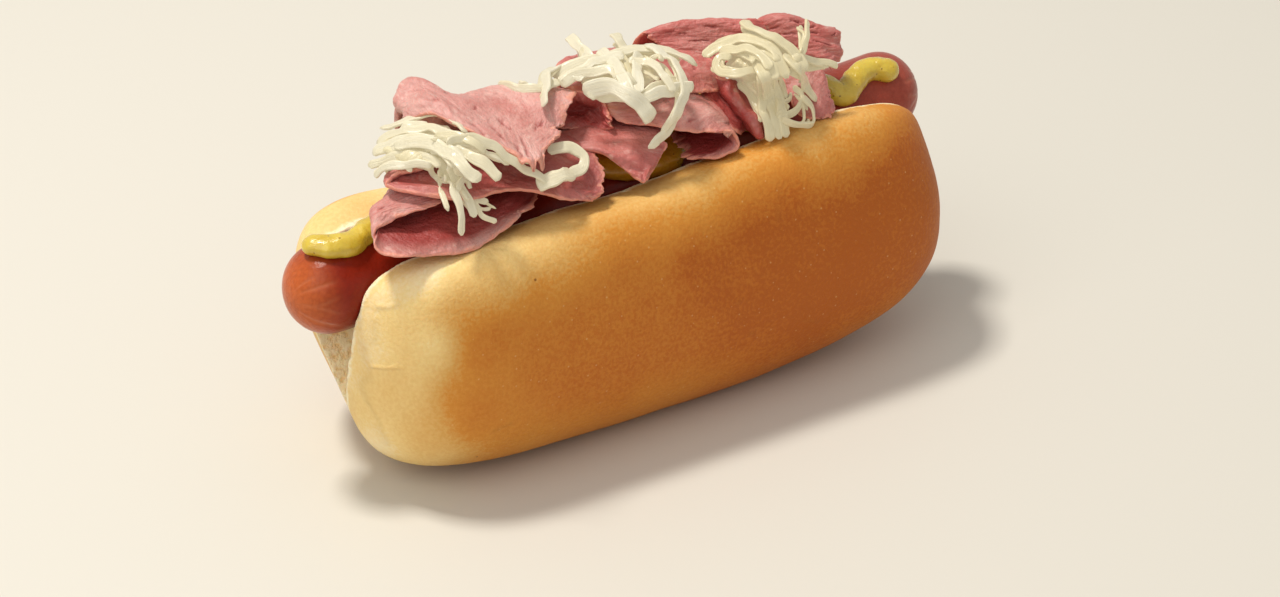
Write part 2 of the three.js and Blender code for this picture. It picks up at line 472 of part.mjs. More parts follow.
const hotDog = new THREE.Group();
function add(name, solid, finish) {
  const mesh = new THREE.Mesh(geometryOf(solid), new THREE.MeshStandardMaterial(FINISH[finish]));
  mesh.name = name;
  hotDog.add(mesh);
}
add("bun", bun, "roll");
add("frankfurter", frank, "frank");
add("mustard", mustard, "mustard");
for (const [name, slice] of Object.entries(beef)) add(name, slice, "beef");
for (const [name, tuft] of Object.entries(kraut)) add(name, tuft, "kraut");

export default hotDog;
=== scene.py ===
"""A dressed hot dog: a soft roll cut open from the top, a frankfurter with a piped line of mustard, folded
slices of corned beef and three tufts of sauerkraut. Metres, +Z up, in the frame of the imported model."""
import math

import bpy
import numpy as np
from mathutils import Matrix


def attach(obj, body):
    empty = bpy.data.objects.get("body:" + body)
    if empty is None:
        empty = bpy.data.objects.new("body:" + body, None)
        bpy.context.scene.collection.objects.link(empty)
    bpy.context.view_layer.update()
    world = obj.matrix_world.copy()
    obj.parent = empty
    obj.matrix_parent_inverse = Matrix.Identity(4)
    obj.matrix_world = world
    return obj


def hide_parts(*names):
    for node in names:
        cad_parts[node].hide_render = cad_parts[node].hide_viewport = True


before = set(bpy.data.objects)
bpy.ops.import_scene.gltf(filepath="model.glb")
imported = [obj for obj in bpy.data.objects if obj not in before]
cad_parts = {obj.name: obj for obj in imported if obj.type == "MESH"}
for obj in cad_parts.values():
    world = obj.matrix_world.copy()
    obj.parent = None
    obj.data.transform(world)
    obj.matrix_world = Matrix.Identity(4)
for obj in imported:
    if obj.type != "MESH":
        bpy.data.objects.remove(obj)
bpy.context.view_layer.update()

MM = 0.001
PI = math.pi

# ---------------------------------------------------------------- driving sizes, millimetres and degrees
ROLL = dict(
    centre_x=3, half_length=82.5, half_width=34.5, height=58.6, mid_height=26.6, flat_half=14, flat_cut=0.6,
    crest_y=22, lip_y=12, lip_drop=1.6, front_crest=(57.6, 68), back_crest=(54, 60.6),
    from_above=(9, 2), right_crest=(4.6, 2), top_left=(15, 2.4), top_right=(5.6, 2.1),
    bottom_left=(16, 3), bottom_right=(3.3, 2), back_lean=(3, -7), lift_left=(5, 4.2), lift_right=(18, 3.2),
    tuck_left=(10, 3.6), tuck_height=34,
    around=330, along=250,
    swells=[(0.22, 50, 11), (0.05, 16, 12), (0.015, 5, 13)],  # height, wavelength and seed of each
)
CUT = dict(floor=14, floor_half=1.4, top_half=12.4, flare=8, bed=46, bed_end=57, foot_end=74, gap=0.35,
           block_top=90, torn_below=62, torn=[(0.22, 6, 21), (0.12, 2.6, 22)])
CRUMB = dict(not_near=9, over_floor=0.6, beside_floor=0.3, reach=0.55, fade=1.1,
             uneven=[(0.35, 5, 31), (0.25, 2, 32)])
FRANK = dict(radius=10.75, cap_x=79.25, cap_length=10.75, left=(-1, 50), right=(3, 54), sag=0.8,
             wrinkles=10, wrinkle=0.34, uneven=0.10, along=260, around=150,
             # The tips are paler, the left one most: partly the skin's own paleness and partly painted light
             # on the lit left tip. Towards the right end the skin is paler, a painted soft reflection.
             tip=(79, 11), tip_paleness=(1.0, 0.35), tip_change=(-20, 40), far=(40, 40))
MUSTARD = dict(
    width=6.2, height=5.2, lift=1.3, along=420, around=44,
    # The middle of the line is darker ochre: partly juice, partly painted shade.
    lumps=[(0.14, 6, 61), (0.07, 2.4, 62)], soaked=0.8, soaked_from=(-20, 10), soaked_to=(-20, 12),
    # where the line turns: x, and the degrees round the frankfurter from its top, front negative
    turns=[(-83.5, 14), (-82.5, 4), (-81, -6), (-78.5, -15), (-75, -17), (-72.5, -14), (-69.5, -8), (-66, -2),
           (-62, 9), (-56, 12), (-43, -32), (-28, 4), (-12, -12), (-5, -32), (2, -44), (9.5, -46),
           (15, -24), (24, 0), (36, -34), (48, 4), (57.5, -14), (60.5, -33), (61.5, -41), (63, -43),
           (65.5, -37), (69.5, -27), (73.5, -24), (77.3, -33), (80.2, -40)],
)

# Each slice is a loft through rails, from one edge of the slice to the other. Every rail is a few points
# that the meat runs through; a rail that turns back on itself makes a fold.
SLICE = dict(thickness=1.7, corner=5, ragged=0.022, ruffle=0.16, edge=0.9, fibre=0.045, tear=0.55,
             rows=90, columns=130)
SLICES = {
    "beef_front_left": [
        [(-28, -14, 62.5), (-39.5, -20, 63.5), (-52, -22, 61), (-62, -22.5, 62.5), (-71.5, -21.5, 64.5),
         (-76, -17, 66.5), (-73.5, -13.5, 68), (-67.5, -14, 70), (-58.5, -17, 70.5)],
        [(-28, -5, 65), (-36, -8, 65.4), (-44, -10, 65.5), (-52, -11, 65.8), (-60, -10.5, 66),
         (-67, -8, 66.8), (-69.5, -7, 69.4), (-64, -9, 71.6), (-55, -13, 72)],
        [(-30, 4, 68.5), (-38, 4, 68.5), (-45, 3, 68.5), (-51, 1.5, 68.5), (-56, 0, 68.5),
         (-59.5, -1, 69.2), (-60.5, -2, 70.6), (-57, -4, 72.4), (-50, -7, 72.6)],
    ],
    "beef_left": [
        [(-18, -22, 62.8), (-23, -21.5, 64), (-32, -20, 68), (-39.5, -17.5, 70.5), (-51.5, -18.5, 72),
         (-62, -14, 74), (-67, -7, 75), (-63.5, -8, 77), (-55, -12, 78)],
        [(-15.5, -20, 65.8), (-21, -18, 67), (-30.5, -15, 69.5), (-38.5, -12, 71), (-49, -12, 73.5),
         (-59, -9, 75), (-63.5, -4, 75), (-60.5, -5, 77), (-53, -8, 78)],
        [(-14, -12, 71), (-18, -7, 73), (-24, -4, 74.2), (-30, -2, 74.2), (-38, 0, 74.2), (-47, 1, 75.2),
         (-56, 1, 76.8), (-52, 0, 78.2), (-47, -2, 78.8)],
        [(-14, -4, 68), (-18, 3, 66), (-24, 8, 62), (-30, 11, 59), (-38, 12, 57.5), (-47, 12, 57.5),
         (-56, 12, 58), (-52, 11, 59.5), (-47, 10, 61)],
    ],
    "beef_top_left": [
        [(-50, 8, 80), (-53.5, 4.5, 83), (-50, 1, 85), (-47, -8, 84), (-41.5, -15, 80),
         (-36.5, -21.5, 77.5), (-30, -18, 78.5)],
        [(-49.5, 13, 80), (-52, 10.5, 83.5), (-47.5, 9, 86), (-43.5, 1, 84.5), (-35.5, -3, 81.5),
         (-28, -8, 79.5), (-21, -11, 78)],
        [(-48.5, 17.5, 80), (-49.5, 16.5, 83.5), (-46.5, 17, 85.5), (-40, 10, 83), (-30.5, 7, 82.8),
         (-21, 3, 83), (-13, -3, 82.5)],
        [(-46, 22, 57), (-47.5, 22, 58.5), (-42, 23, 57.5), (-35, 22, 56.3), (-27, 22, 56.6),
         (-17, 21, 57), (-8, 19, 57.4)],
    ],
    "beef_top_fold": [
        [(-20.5, -2, 79.8), (-13.5, -3, 82), (-9.5, -4, 81), (-7.5, -6, 79), (-7.5, -9, 76.5)],
        [(-19, 2, 75.5), (-10.5, 2, 75), (-7.5, 0, 75), (-7, -4.5, 75), (-7.5, -9.5, 75.2)],
        [(-21, -3, 74.2), (-14, -3.5, 73.2), (-11, -5, 72.5), (-9, -7, 72.8), (-7.5, -10, 74)],
    ],
    "beef_tongue": [
        [(-21, 3, 73), (-4, -2, 73), (10.5, -8, 70)],
        [(-21.5, -7, 72.5), (-7.5, -11, 71.5), (6, -14, 69.5)],
        [(-14, -13.5, 71), (-7, -16, 69.5), (2, -17, 68)],
        [(-9.5, -18, 67), (-5.5, -19, 66.5), (-2, -19.5, 66.5)],
        [(-7.5, -21, 65), (-6.5, -21.5, 64.5), (-5.5, -21.5, 65)],
    ],
    "beef_middle": [
        [(-9.5, -7, 75.5), (0.5, -13, 73), (8, -17, 72), (14.5, -19.5, 71.5), (19.5, -20, 68.5),
         (20.5, -20.5, 65.5), (15, -20.5, 64.2), (5.5, -17.5, 64.2)],
        [(-9.5, 0, 79), (5.5, -5, 76.4), (14, -5, 75.4), (19.5, -7, 73.5), (21.5, -10, 70.5), (22, -12, 67.5),
         (18.5, -13, 65), (10, -12, 64)],
        [(-5, 18, 66), (3, 17, 66), (11, 15, 67), (16, 12, 68), (19, 8, 68.5), (20, 4, 68), (18, 0, 66),
         (10, -2, 65)],
    ],
    "beef_crown": [
        [(-13, -2, 80), (0, -6, 79.4), (12, -8, 77.5), (24, -8, 71.8)],
        [(-13, 6, 81), (1, 4, 81.4), (14, 1, 80), (30, -2, 75.2)],
        [(-9, 13, 81), (2, 13, 81.5), (15, 10, 80.3), (29, 6, 76)],
        [(-6, 20, 58), (4, 20, 58.4), (15, 19.5, 59), (27, 17, 58.2)],
    ],
    "beef_pleated": [
        [(17, -5, 75.2), (25, -1.5, 76), (28, -6, 76), (32, -3.5, 74), (38, -5, 70.5)],
        [(21, -9, 72), (26, -5.5, 72), (27, -11, 72.5), (31, -7.5, 71), (36, -10, 68)],
        [(22.5, -13, 68), (28, -9.5, 68), (28, -15, 69), (32, -11, 67.5), (34.5, -14, 65.5)],
        [(24, -17, 65), (29, -12.5, 64), (29, -18.5, 64.5), (32.5, -13.5, 63.5), (33.5, -17, 62.5)],
    ],
    "beef_front_right": [
        [(43, -5, 73), (49.5, -7, 74.5), (53.5, -8, 74.5)],
        [(42, -10, 70), (48, -12.5, 70.5), (52, -14, 70)],
        [(40.5, -17, 66), (46, -19.5, 66), (50, -20.5, 66.5)],
    ],
    "beef_back": [
        [(22.5, 7, 76.5), (29.5, 4, 76), (36, 0, 75), (41.5, -3, 75.5), (46.5, -3, 75.5)],
        [(19, 12, 80), (27, 9, 80), (34, 6, 80), (40, 2, 80), (45.5, 2, 80)],
        [(16.5, 15, 82.5), (25, 12.5, 83.5), (32, 9, 84), (39.5, 6, 83), (45.5, 5, 82.5)],
        [(15, 21.5, 61.5), (24, 22.5, 60), (32, 21, 58.8), (39, 20, 59), (45, 18, 59.4)],
    ],
    "beef_back_right": [
        [(46, -2, 75.5), (50.5, -5, 74.5), (55, -8, 73.5), (59.5, -9, 72)],
        [(45, 3, 79.5), (49.5, -2, 79), (55, -5, 77.5), (61.5, -6.5, 75)],
        [(44, 6, 82.5), (50, 1, 83.5), (56, -2, 81), (62, -4.5, 79)],
        [(46, 17, 60), (51, 16, 59.8), (56, 14, 60), (60.5, 11, 61)],
    ],
}

# Places where a slice's edge hangs out or is torn in: the place on the slice (-1 to 1 each way), reach and
# move.
PULLS = {
    "beef_top_left": [((0.7, -1.0), 0.8, (0, -0.4, -2.6)), ((0.88, -1.0), 0.9, (0, -0.6, -3.4)),
                      ((0.55, -1.0), 0.8, (0, -0.3, -1.2)), ((1.0, -0.34), 0.9, (-3.6, 1.2, 0.6)),
                      ((1.0, -0.62), 0.7, (-1.6, 0.6, 0.4))],
    "beef_front_left": [((-0.98, -1.0), 0.9, (1.6, 0.8, -0.6)), ((-0.9, -1.0), 0.6, (-1.0, 0.9, 0.8))],
    "beef_tongue": [((1.0, -0.45), 0.8, (-1.6, 0.4, 0.6))],
    "beef_back": [((-1.0, 0.1), 1.0, (1.6, 0, 0)), ((1.0, 0.3), 1.2, (-1.8, 0.4, 0))],
    "beef_back_right": [((1.0, 0.35), 1.0, (-1.8, 0.8, 0)), ((1.0, -0.35), 0.9, (-2.2, 1.0, 0.4)),
                        ((0.5, -1.0), 0.9, (0, -0.6, -1.6)), ((0.1, -1.0), 0.8, (0, 0.8, 1.4))],
    "beef_front_right": [((1.0, 0.3), 0.8, (-1.4, 0.4, 0.2)), ((0.5, 1.0), 0.7, (0, -0.2, -0.9))],
}

# Tears that have their own places: from, to (-1 to 1 each way) and width; then how many more lie at random.
TEARS = {
    "beef_top_left": ([((0.28, -0.6), (0.37, -0.8), 0.4), ((0.12, -0.7), (0.2, -0.9), 0.35),
                       ((0.5, -0.8), (0.57, -0.96), 0.35), ((0.6, -0.7), (0.64, -0.92), 0.35),
                       ((0.42, -0.48), (0.5, -0.56), 0.3), ((0.72, -0.32), (1.0, -0.36), 0.4)], 12),
    "beef_tongue": ([((0.3, 0.15), (0.75, -0.3), 0.3)], 6),
    "beef_middle": ([((0.1, -0.7), (0.2, -0.4), 0.35)], 10),
    "beef_back": ([((-0.75, 0.45), (-0.6, 0.42), 0.5), ((-0.1, 0.1), (0.0, 0.05), 0.6),
                   ((0.3, -0.3), (0.45, -0.2), 0.4)], 16),
    "beef_back_right": ([((-0.3, 0.2), (0.1, 0.05), 0.4), ((0.2, -0.3), (0.6, -0.35), 0.45)], 16),
    "beef_left": ([], 12),
    "beef_front_left": ([], 12),
}
OTHER_TEARS = ([], 8)

# How pale each slice is, partly its fattier meat and partly painted light; how deep red it is; and how deep
# red on its underside, which shows inside a fold, as painted shade.
SLICE_LOOK = {
    "beef_front_left": (0.75, 0.0, 0.85), "beef_left": (0.4, 0.0, 0.5), "beef_top_left": (0.85, 0.0, 0.2),
    "beef_top_fold": (0.1, 0.1, 0.3), "beef_tongue": (0.4, 0.0, 0.1), "beef_middle": (0.55, 0.0, 0.9),
    "beef_crown": (0.3, 0.0, 0.2), "beef_pleated": (0.0, 0.3, 0.3), "beef_front_right": (0.4, 0.05, 0.1),
    "beef_back": (0.15, 0.0, 0.1), "beef_back_right": (0.2, 0.0, 0.1),
}

# Each tuft is a low mound with its shreds lying on it and hanging off it: a shred is its width and its
# points. Under each lie some narrower ones, as many as "under" says; "warm" moves the tuft's tone towards
# its darker one.
SHRED = dict(thickness=0.7, loose_thickness=1.1, slim=0.88)
TUFTS = {
    "kraut_left": dict(centre=(-55, -3, 79.6), radii=(9, 9.5, 3.2), under=3, warm=0.1, shreds=[
        (2.4, [(-59.5, 8, 81), (-54.5, 4.5, 83), (-49, 3, 84), (-47, -4, 84.5), (-46.5, -9.5, 83.5)]),
        (3, [(-62, 5, 80), (-58, 0.5, 83), (-53, -4.5, 84.5), (-50, -11, 84)]),
        (2.6, [(-64.5, 3, 78.5), (-61, -1.5, 82), (-55.5, -6, 83.5), (-54, -12, 83)]),
        (3.6, [(-62, -3, 82), (-57, -8.5, 84), (-55.5, -15.5, 84), (-54.5, -22, 82.5),
         (-53, -25.5, 79.5)]),
        (3, [(-57, -10, 82.5), (-52.5, -14, 83), (-50.5, -18.5, 82.5), (-48.5, -21.5, 81),
         (-47, -24, 78.5)]),
        (2.6, [(-54.5, -13.5, 85), (-50, -13.5, 85), (-46, -15, 83.5), (-41.5, -17.5, 80),
         (-36.5, -19, 75.2), (-31.5, -20, 71.5)]),
        (2.4, [(-67, 0, 77), (-63, -3.5, 79.5), (-58.5, -8.5, 81), (-56.5, -14, 80.5)]),
        (2.2, [(-67, -2, 75.5), (-65.5, -4.5, 78), (-62, -8, 79.5), (-58, -12.5, 80)]),
        (2.2, [(-56.5, -12.5, 81.5), (-54, -13, 77), (-56, -19, 75.5), (-56.5, -22.5, 71.5),
         (-57, -24, 67)]),
        (2.4, [(-55.5, -16, 81), (-52.5, -15, 75), (-52.5, -19, 72.5), (-52.5, -21.5, 69.5)]),
        (1.8, [(-54.5, -17.5, 81), (-49.5, -14, 73.5), (-48.5, -17, 71), (-46.5, -18, 69.5)]),
        (1.4, [(-50, -14.5, 74.5), (-50, -18.5, 70.5), (-49.5, -21, 68), (-47, -22.5, 66.5)]),
    ], loose=[
        (2.6, [(-26, -11, 74), (-23.5, -12.5, 75), (-20.5, -14.5, 74), (-19.5, -16, 72.5), (-21, -17.5, 71),
         (-24.5, -18.5, 71), (-28.5, -19.5, 71.5)]),
        (3.6, [(-34.5, -19.6, 71.4), (-31, -20.6, 72.2), (-27.5, -20.4, 72.4), (-25, -19, 71.4)]),
    ]),
    "kraut_middle": dict(centre=(1, 0, 82), radii=(11, 8, 3), under=2, warm=0.0, shreds=[
        (3, [(-5, 13, 88.5), (-5.5, 7.5, 87.5), (-5.5, 1.5, 86)]),
        (3, [(4, 8.5, 88.5), (4, 3.5, 87.5), (3.5, -1.5, 86)]),
        (2.4, [(-27.5, 8.5, 84), (-25.5, 2, 84.5), (-20.5, -1, 84.5), (-16, -0.5, 85)]),
        (3.4, [(-12.5, 5, 85.5), (-17, 3, 86), (-21, -2, 85.5), (-25, -7.5, 84)]),
        (3.2, [(-15.5, 3, 84), (-11.5, 2, 86.5), (-3.5, 0, 87.5), (6, -1, 87.5), (11.5, -4, 87),
         (14.5, -7.5, 85.5), (16.5, -9, 83.5)]),
        (3, [(-16.5, -1, 84.5), (-11, -3, 86.5), (-6, -6, 87), (-4, -10.5, 86)]),
        (4.4, [(-14.5, -7.5, 84.5), (-9.5, -10.5, 85.5), (-6.5, -15.5, 84.5), (-3.5, -17.5, 81),
         (-2, -18, 78)]),
        (3, [(4.5, -2, 87.5), (-1, -10, 87), (-4, -16, 85)]),
        (3.2, [(7.5, -0.5, 88), (9, -6.5, 87.5), (8.5, -14, 86.5), (7, -18, 83.5), (4, -20, 79.5),
         (2, -18, 74), (-4, -19.5, 72.5)]),
        (3.4, [(-4, -16, 82.5), (0.5, -17, 84), (6, -17.5, 84), (9.5, -17.5, 83)]),
        (2.4, [(-0.5, -5.5, 88), (3, -9, 88), (3, -15.5, 87), (3, -19, 84.5)]),
        (3, [(-3, 3, 88), (-4, -5.5, 88), (-5.5, -12, 87), (-6.5, -16, 85)]),
        (3, [(-13.5, -3, 85.5), (-7, -1, 87.5), (0, -3.5, 88.5)]),
    ]),
    "kraut_right": dict(centre=(33, -7, 78.4), radii=(6.5, 5.5, 3.8), under=2, warm=0.9, shreds=[
        (3.4, [(34, -2.5, 88), (34.5, -8, 87.5), (37, -12.5, 86.5), (39, -16, 84.5), (40.5, -20, 80.5)]),
        (3.6, [(22.5, -3, 82), (27, -4, 84.5), (31.5, -7.5, 86), (34, -12.5, 86), (34.5, -17, 84),
         (34, -21, 80.5)]),
        (2.4, [(28.5, -17, 82.5), (24, -16, 82.5), (21.5, -12.5, 82), (21.5, -9.5, 82.5), (23, -9, 83.5),
         (25.5, -10.5, 84)]),
        (3.4, [(29.5, -15, 84.5), (28, -20.5, 82), (33.5, -15, 72.5), (32.5, -19, 68.5),
         (32, -21.5, 65)]),
        (2.6, [(30, -9, 76.5), (31.5, -13, 74), (30.5, -17, 70.5), (30, -19.5, 68), (29.5, -21, 65)]),
        (3, [(31, -18.5, 82), (36, -14.5, 73.5), (35, -18.5, 69.5), (34, -21.5, 65)]),
        (1.8, [(47.5, -10.5, 88), (44, -14.5, 86.5), (41.5, -16.5, 83.5), (39.5, -16.5, 82)]),
        (3.2, [(36.5, -16, 84), (37.5, -20.5, 82), (45.5, -13.5, 72), (46, -16.5, 69)]),
        (2.2, [(41.5, -13.5, 73.5), (43, -15, 71), (41, -17, 69.5), (37, -18.5, 69), (33, -18.5, 70.5)]),
        (2, [(43, -15.5, 71), (44, -17.5, 68.5), (43, -20, 66.5), (39.5, -21.5, 66.5), (36, -21, 68),
         (34, -19.5, 69.5)]),
        (3, [(29, -11, 85), (30, -18, 85), (30, -22, 81.5)]),
        (2.6, [(25, -6.5, 84), (28, -11, 86), (29.5, -16, 86), (29.5, -20.5, 84)]),
        (2.2, [(39, -15.5, 83), (44.5, -16.5, 80.5), (48.5, -16.5, 79), (52.5, -16.5, 77)]),
    ]),
}

# Small marks in the crust, all in front of this y: from, to (x, z), width and depth. Their depth also sets the
# painted shade in them.
MARKS_IN_FRONT_OF = -4
CRUST_MARKS = [
    ((-75.5, 50.9), (-72.5, 52.7), 0.35, 0.25),
    ((-77.4, 35.4), (-74.0, 37.7), 0.35, 0.3),
    ((-76.2, 48.0), (-77.8, 40.0), 0.5, 0.12),
    ((-77.8, 40.0), (-77.8, 25.0), 0.5, 0.2),
    ((-77.8, 25.0), (-74.7, 14.0), 0.5, 0.15),
    ((-55.3, 19.0), (-50.7, 20.4), 0.4, 0.3),
    ((31.2, 21.5), (36.1, 19.6), 0.4, 0.2),
    ((11.2, 33.1), (11.3, 33.2), 0.55, 0.5),
    ((15.5, 22.8), (15.6, 22.9), 0.4, 0.35),
    ((26.3, 61.9), (24.2, 50.0), 0.6, 0.15),
]

# How brown the crust gets, 0 cream to 1 brown. A rise is the x where it starts and its length, and an uneven
# field is its height, wavelength and seed.
BROWNING = dict(
    crest=(0.0, 0.37), crest_rise=(-66, 54), patch_x=30, patch_half=28, patch=0.09,
    side=(0.70, 1.04), side_rise=(-70, 120), quick=0.25, quick_depth=2, slow_depth=18,
    # foot: paler low down, painted light thrown up from the floor.
    foot=0.16, foot_height=28, foot_depth=18, end=(0.1, 1.0), end_rise=(-78, 20),
    uneven=[(0.035, 40, 41), (0.02, 14, 42)],
)
# The pale stretch inside the back lobe at the left end: where it starts and how it fades in on each axis, how
# brown it is, and the browner rim above it.
OPENED = dict(minus_x=(48, 12), y=(6, 4), z=(30, 10), colour=0.18, rim=0.35, rim_y=26.5, rim_width=1.6)
CRUST_COLOURS = [(0.0, "F8E6BC"), (0.12, "F0D08C"), (0.25, "E4BB74"), (0.4, "DAA65A"), (0.55, "D38D38"),
                 (0.75, "C97C2C"), (0.9, "BE6A20"), (1.0, "B45E1A")]


# ---------------------------------------------------------------- shapes as whole arrays
def smooth(t):
    """Smooth step: 0 below 0, 1 above 1, and 3t^2 - 2t^3 between."""
    t = np.clip(t, 0, 1)
    return t * t * (3 - 2 * t)


def mix(pair, t):
    """Straight from the pair's first value at t = 0 to its second at t = 1."""
    return pair[0] + (pair[1] - pair[0]) * t


def rise(x, span):
    """Smooth step of x over a span: where it starts, and how long it is."""
    return smooth((x - span[0]) / span[1])


def unit(v):
    """Vectors at length 1."""
    return v / np.maximum(np.linalg.norm(v, axis=-1, keepdims=True), 1e-9)


def ripples(points, wavelength, seed, waves=20):
    """Soft uneven field of about -1 to 1: the sum of plane waves in random directions, each about one
    wavelength long, over the square root of their number."""
    random = np.random.default_rng(seed)
    directions = unit(random.normal(size=(waves, points.shape[-1])))
    lengths = wavelength * random.uniform(0.7, 1.5, waves)
    phases = random.uniform(0, 2 * PI, waves)
    angle = np.tensordot(points, (directions / lengths[:, None]).T, 1) * 2 * PI + phases
    return np.sin(angle).sum(-1) / math.sqrt(waves)


def unevenness(points, layers):
    """Sum of soft uneven fields, each given by its height, its wavelength and its seed."""
    return sum(height * ripples(points, wavelength, seed) for height, wavelength, seed in layers)


def spline(points, t):
    """Centripetal Catmull-Rom curve through the points of the first axis, at t from 0 to 1: each span is a
    cubic whose end slopes come from the neighbouring points, weighted by the square roots of their
    distances."""
    points = np.asarray(points, float)
    t = np.asarray(t, float)
    last = len(points) - 1
    padded = np.concatenate([2 * points[:1] - points[1:2], points, 2 * points[-1:] - points[-2:-1]])
    place = np.clip(t, 0, 1) * last
    start = np.minimum(place.astype(int), last - 1)
    w = (place - start)[..., None]
    if padded.ndim == 2:
        p0, p1, p2, p3 = [padded[start + k] for k in range(4)]
    else:
        p0, p1, p2, p3 = [np.take_along_axis(padded, (start + k)[None, ..., None], 0)[0] for k in range(4)]
    d0, d1, d2 = [np.maximum(np.linalg.norm(b - a, axis=-1, keepdims=True), 1e-6) ** 0.5
                  for a, b in ((p0, p1), (p1, p2), (p2, p3))]
    m1 = ((p1 - p0) / d0 - (p2 - p0) / (d0 + d1) + (p2 - p1) / d1) * d1
    m2 = ((p2 - p1) / d1 - (p3 - p1) / (d1 + d2) + (p3 - p2) / d2) * d1
    return p1 + m1 * w + (3 * (p2 - p1) - 2 * m1 - m2) * w**2 + (m1 + m2 - 2 * (p2 - p1)) * w**3


def even(points, places):
    """Points at the given shares, 0 to 1, of the length of the curve through the points."""
    fine = spline(points, np.linspace(0, 1, 400))
    length = np.concatenate([[0], np.cumsum(np.linalg.norm(np.diff(fine, axis=0), axis=1))])
    return np.stack([np.interp(np.asarray(places) * length[-1], length, fine[:, k]) for k in range(3)], -1)


def grid_faces(rows, columns, wrap_columns=False, start=0):
    """Four-sided faces of a grid of points, rows by columns, each row joined round on itself where it
    wraps."""
    i = np.arange(rows - 1)[:, None] * columns
    j = np.arange(columns if wrap_columns else columns - 1)[None, :]
    ahead = (j + 1) % columns
    corners = [i + j, i + ahead, i + columns + ahead, i + columns + j]
    return start + np.stack(np.broadcast_arrays(*corners), -1).reshape(-1, 4)


def grid_normals(points, wrap_columns=False):
    """Normals of a grid surface: the cross product of its slopes along the columns and along the rows."""
    if wrap_columns:
        along_columns = np.roll(points, -1, 1) - np.roll(points, 1, 1)
    else:
        along_columns = np.gradient(points, axis=1)
    return unit(np.cross(along_columns, np.gradient(points, axis=0)))


def capped_faces(rows, columns, start):
    """Faces round a tube made of rings, with one face over each end."""
    faces = grid_faces(rows, columns, wrap_columns=True, start=start).tolist()
    ring = list(range(start, start + columns))
    faces.append(ring[::-1])
    faces.append([(rows - 1) * columns + k for k in ring])
    return faces


def closed_tube(rings, ends, turned=False):
    """Points and faces of a tube made of rings, each end closed by a fan of triangles round its end point.
    Turned, all faces look the other way."""
    rows, columns = rings.shape[:2]
    ring = np.arange(columns)
    ahead = (ring + 1) % columns
    last = (rows - 1) * columns
    walls = grid_faces(rows, columns, wrap_columns=True)
    first_fan = np.stack([np.full(columns, rows * columns), ahead, ring], -1)
    last_fan = np.stack([np.full(columns, rows * columns + 1), last + ring, last + ahead], -1)
    if turned:
        walls, first_fan, last_fan = walls[:, ::-1], first_fan[:, [0, 2, 1]], last_fan[:, [0, 2, 1]]
    points = np.concatenate([rings.reshape(-1, 3), ends])
    return points, walls.tolist() + first_fan.tolist() + last_fan.tolist()


def set_values(mesh, values):
    """Named values for each point of a mesh, which its material reads."""
    for key, value in values.items():
        named = mesh.attributes.new(key, "FLOAT", "POINT")
        named.data.foreach_set("value", np.ascontiguousarray(value, dtype=np.float32))


def mesh_points(mesh):
    """Places of a mesh's points in metres, one row for each."""
    flat = np.empty(len(mesh.vertices) * 3, dtype=np.float32)
    mesh.vertices.foreach_get("co", flat)
    return flat.reshape(-1, 3)


def show(name, data):
    """A new object with the data, at the origin of the scene."""
    shown = bpy.data.objects.new(name, data)
    bpy.context.scene.collection.objects.link(shown)
    return shown


def make_piece(name, points, faces, material, values=None, uv=None, smooth_shading=True):
    """A mesh object from arrays in millimetres, with named values for each point and a UV for each point."""
    mesh = bpy.data.meshes.new(name)
    mesh.from_pydata((points * MM).tolist(), [], faces.tolist() if isinstance(faces, np.ndarray) else faces)
    set_values(mesh, values or {})
    if uv is not None:
        corner = np.empty(len(mesh.loops), dtype=np.int32)
        mesh.loops.foreach_get("vertex_index", corner)
        mesh.uv_layers.new(name="UVMap").data.foreach_set("uv", uv[corner].astype(np.float32).ravel())
    mesh.polygons.foreach_set("use_smooth", [smooth_shading] * len(mesh.polygons))
    mesh.materials.append(material)
    mesh.validate()
    return show(name, mesh)


def stand_for(piece, node):
    """The piece rides with the food and stands for its node, which it hides."""
    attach(piece, "root")
    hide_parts(node)


# ---------------------------------------------------------------- materials
def colour(code):
    """A hex colour as linear red, green, blue and alpha."""
    parts = [int(code[k:k + 2], 16) / 255 for k in (0, 2, 4)]
    return [p / 12.92 if p <= 0.04045 else ((p + 0.055) / 1.055) ** 2.4 for p in parts] + [1.0]


def node(tree, kind, inputs=None, **settings):
    """A shader node with its settings, and its inputs set to a value or joined to another node's output."""
    made = tree.nodes.new(kind)
    for key, value in settings.items():
        setattr(made, key, value)
    for key, value in (inputs or {}).items():
        if isinstance(value, bpy.types.NodeSocket):
            tree.links.new(value, made.inputs[key])
        else:
            made.inputs[key].default_value = value
    return made


def tint(tree, factor, first, second):
    """The first colour where factor is 0 and the second where it is 1."""
    return node(tree, "ShaderNodeMix", {0: factor, 6: first, 7: second}, data_type="RGBA").outputs[2]


def steps(tree, value, low, high):
    """Smooth step of a value, from 0 at low to 1 at high."""
    ends = {"Value": value, "From Min": low, "From Max": high}
    return node(tree, "ShaderNodeMapRange", ends, interpolation_type="SMOOTHSTEP").outputs[0]


def math_node(tree, operation, *values):
    """One operation on two or three values."""
    return node(tree, "ShaderNodeMath", dict(enumerate(values)), operation=operation).outputs[0]


def layer(tree, base, mask, code, share=1.0):
    """The base colour with a second one over it: as much of it as the mask says, times a share."""
    factor = mask if share == 1.0 else math_node(tree, "MULTIPLY", mask, share)
    return tint(tree, factor, base, colour(code))


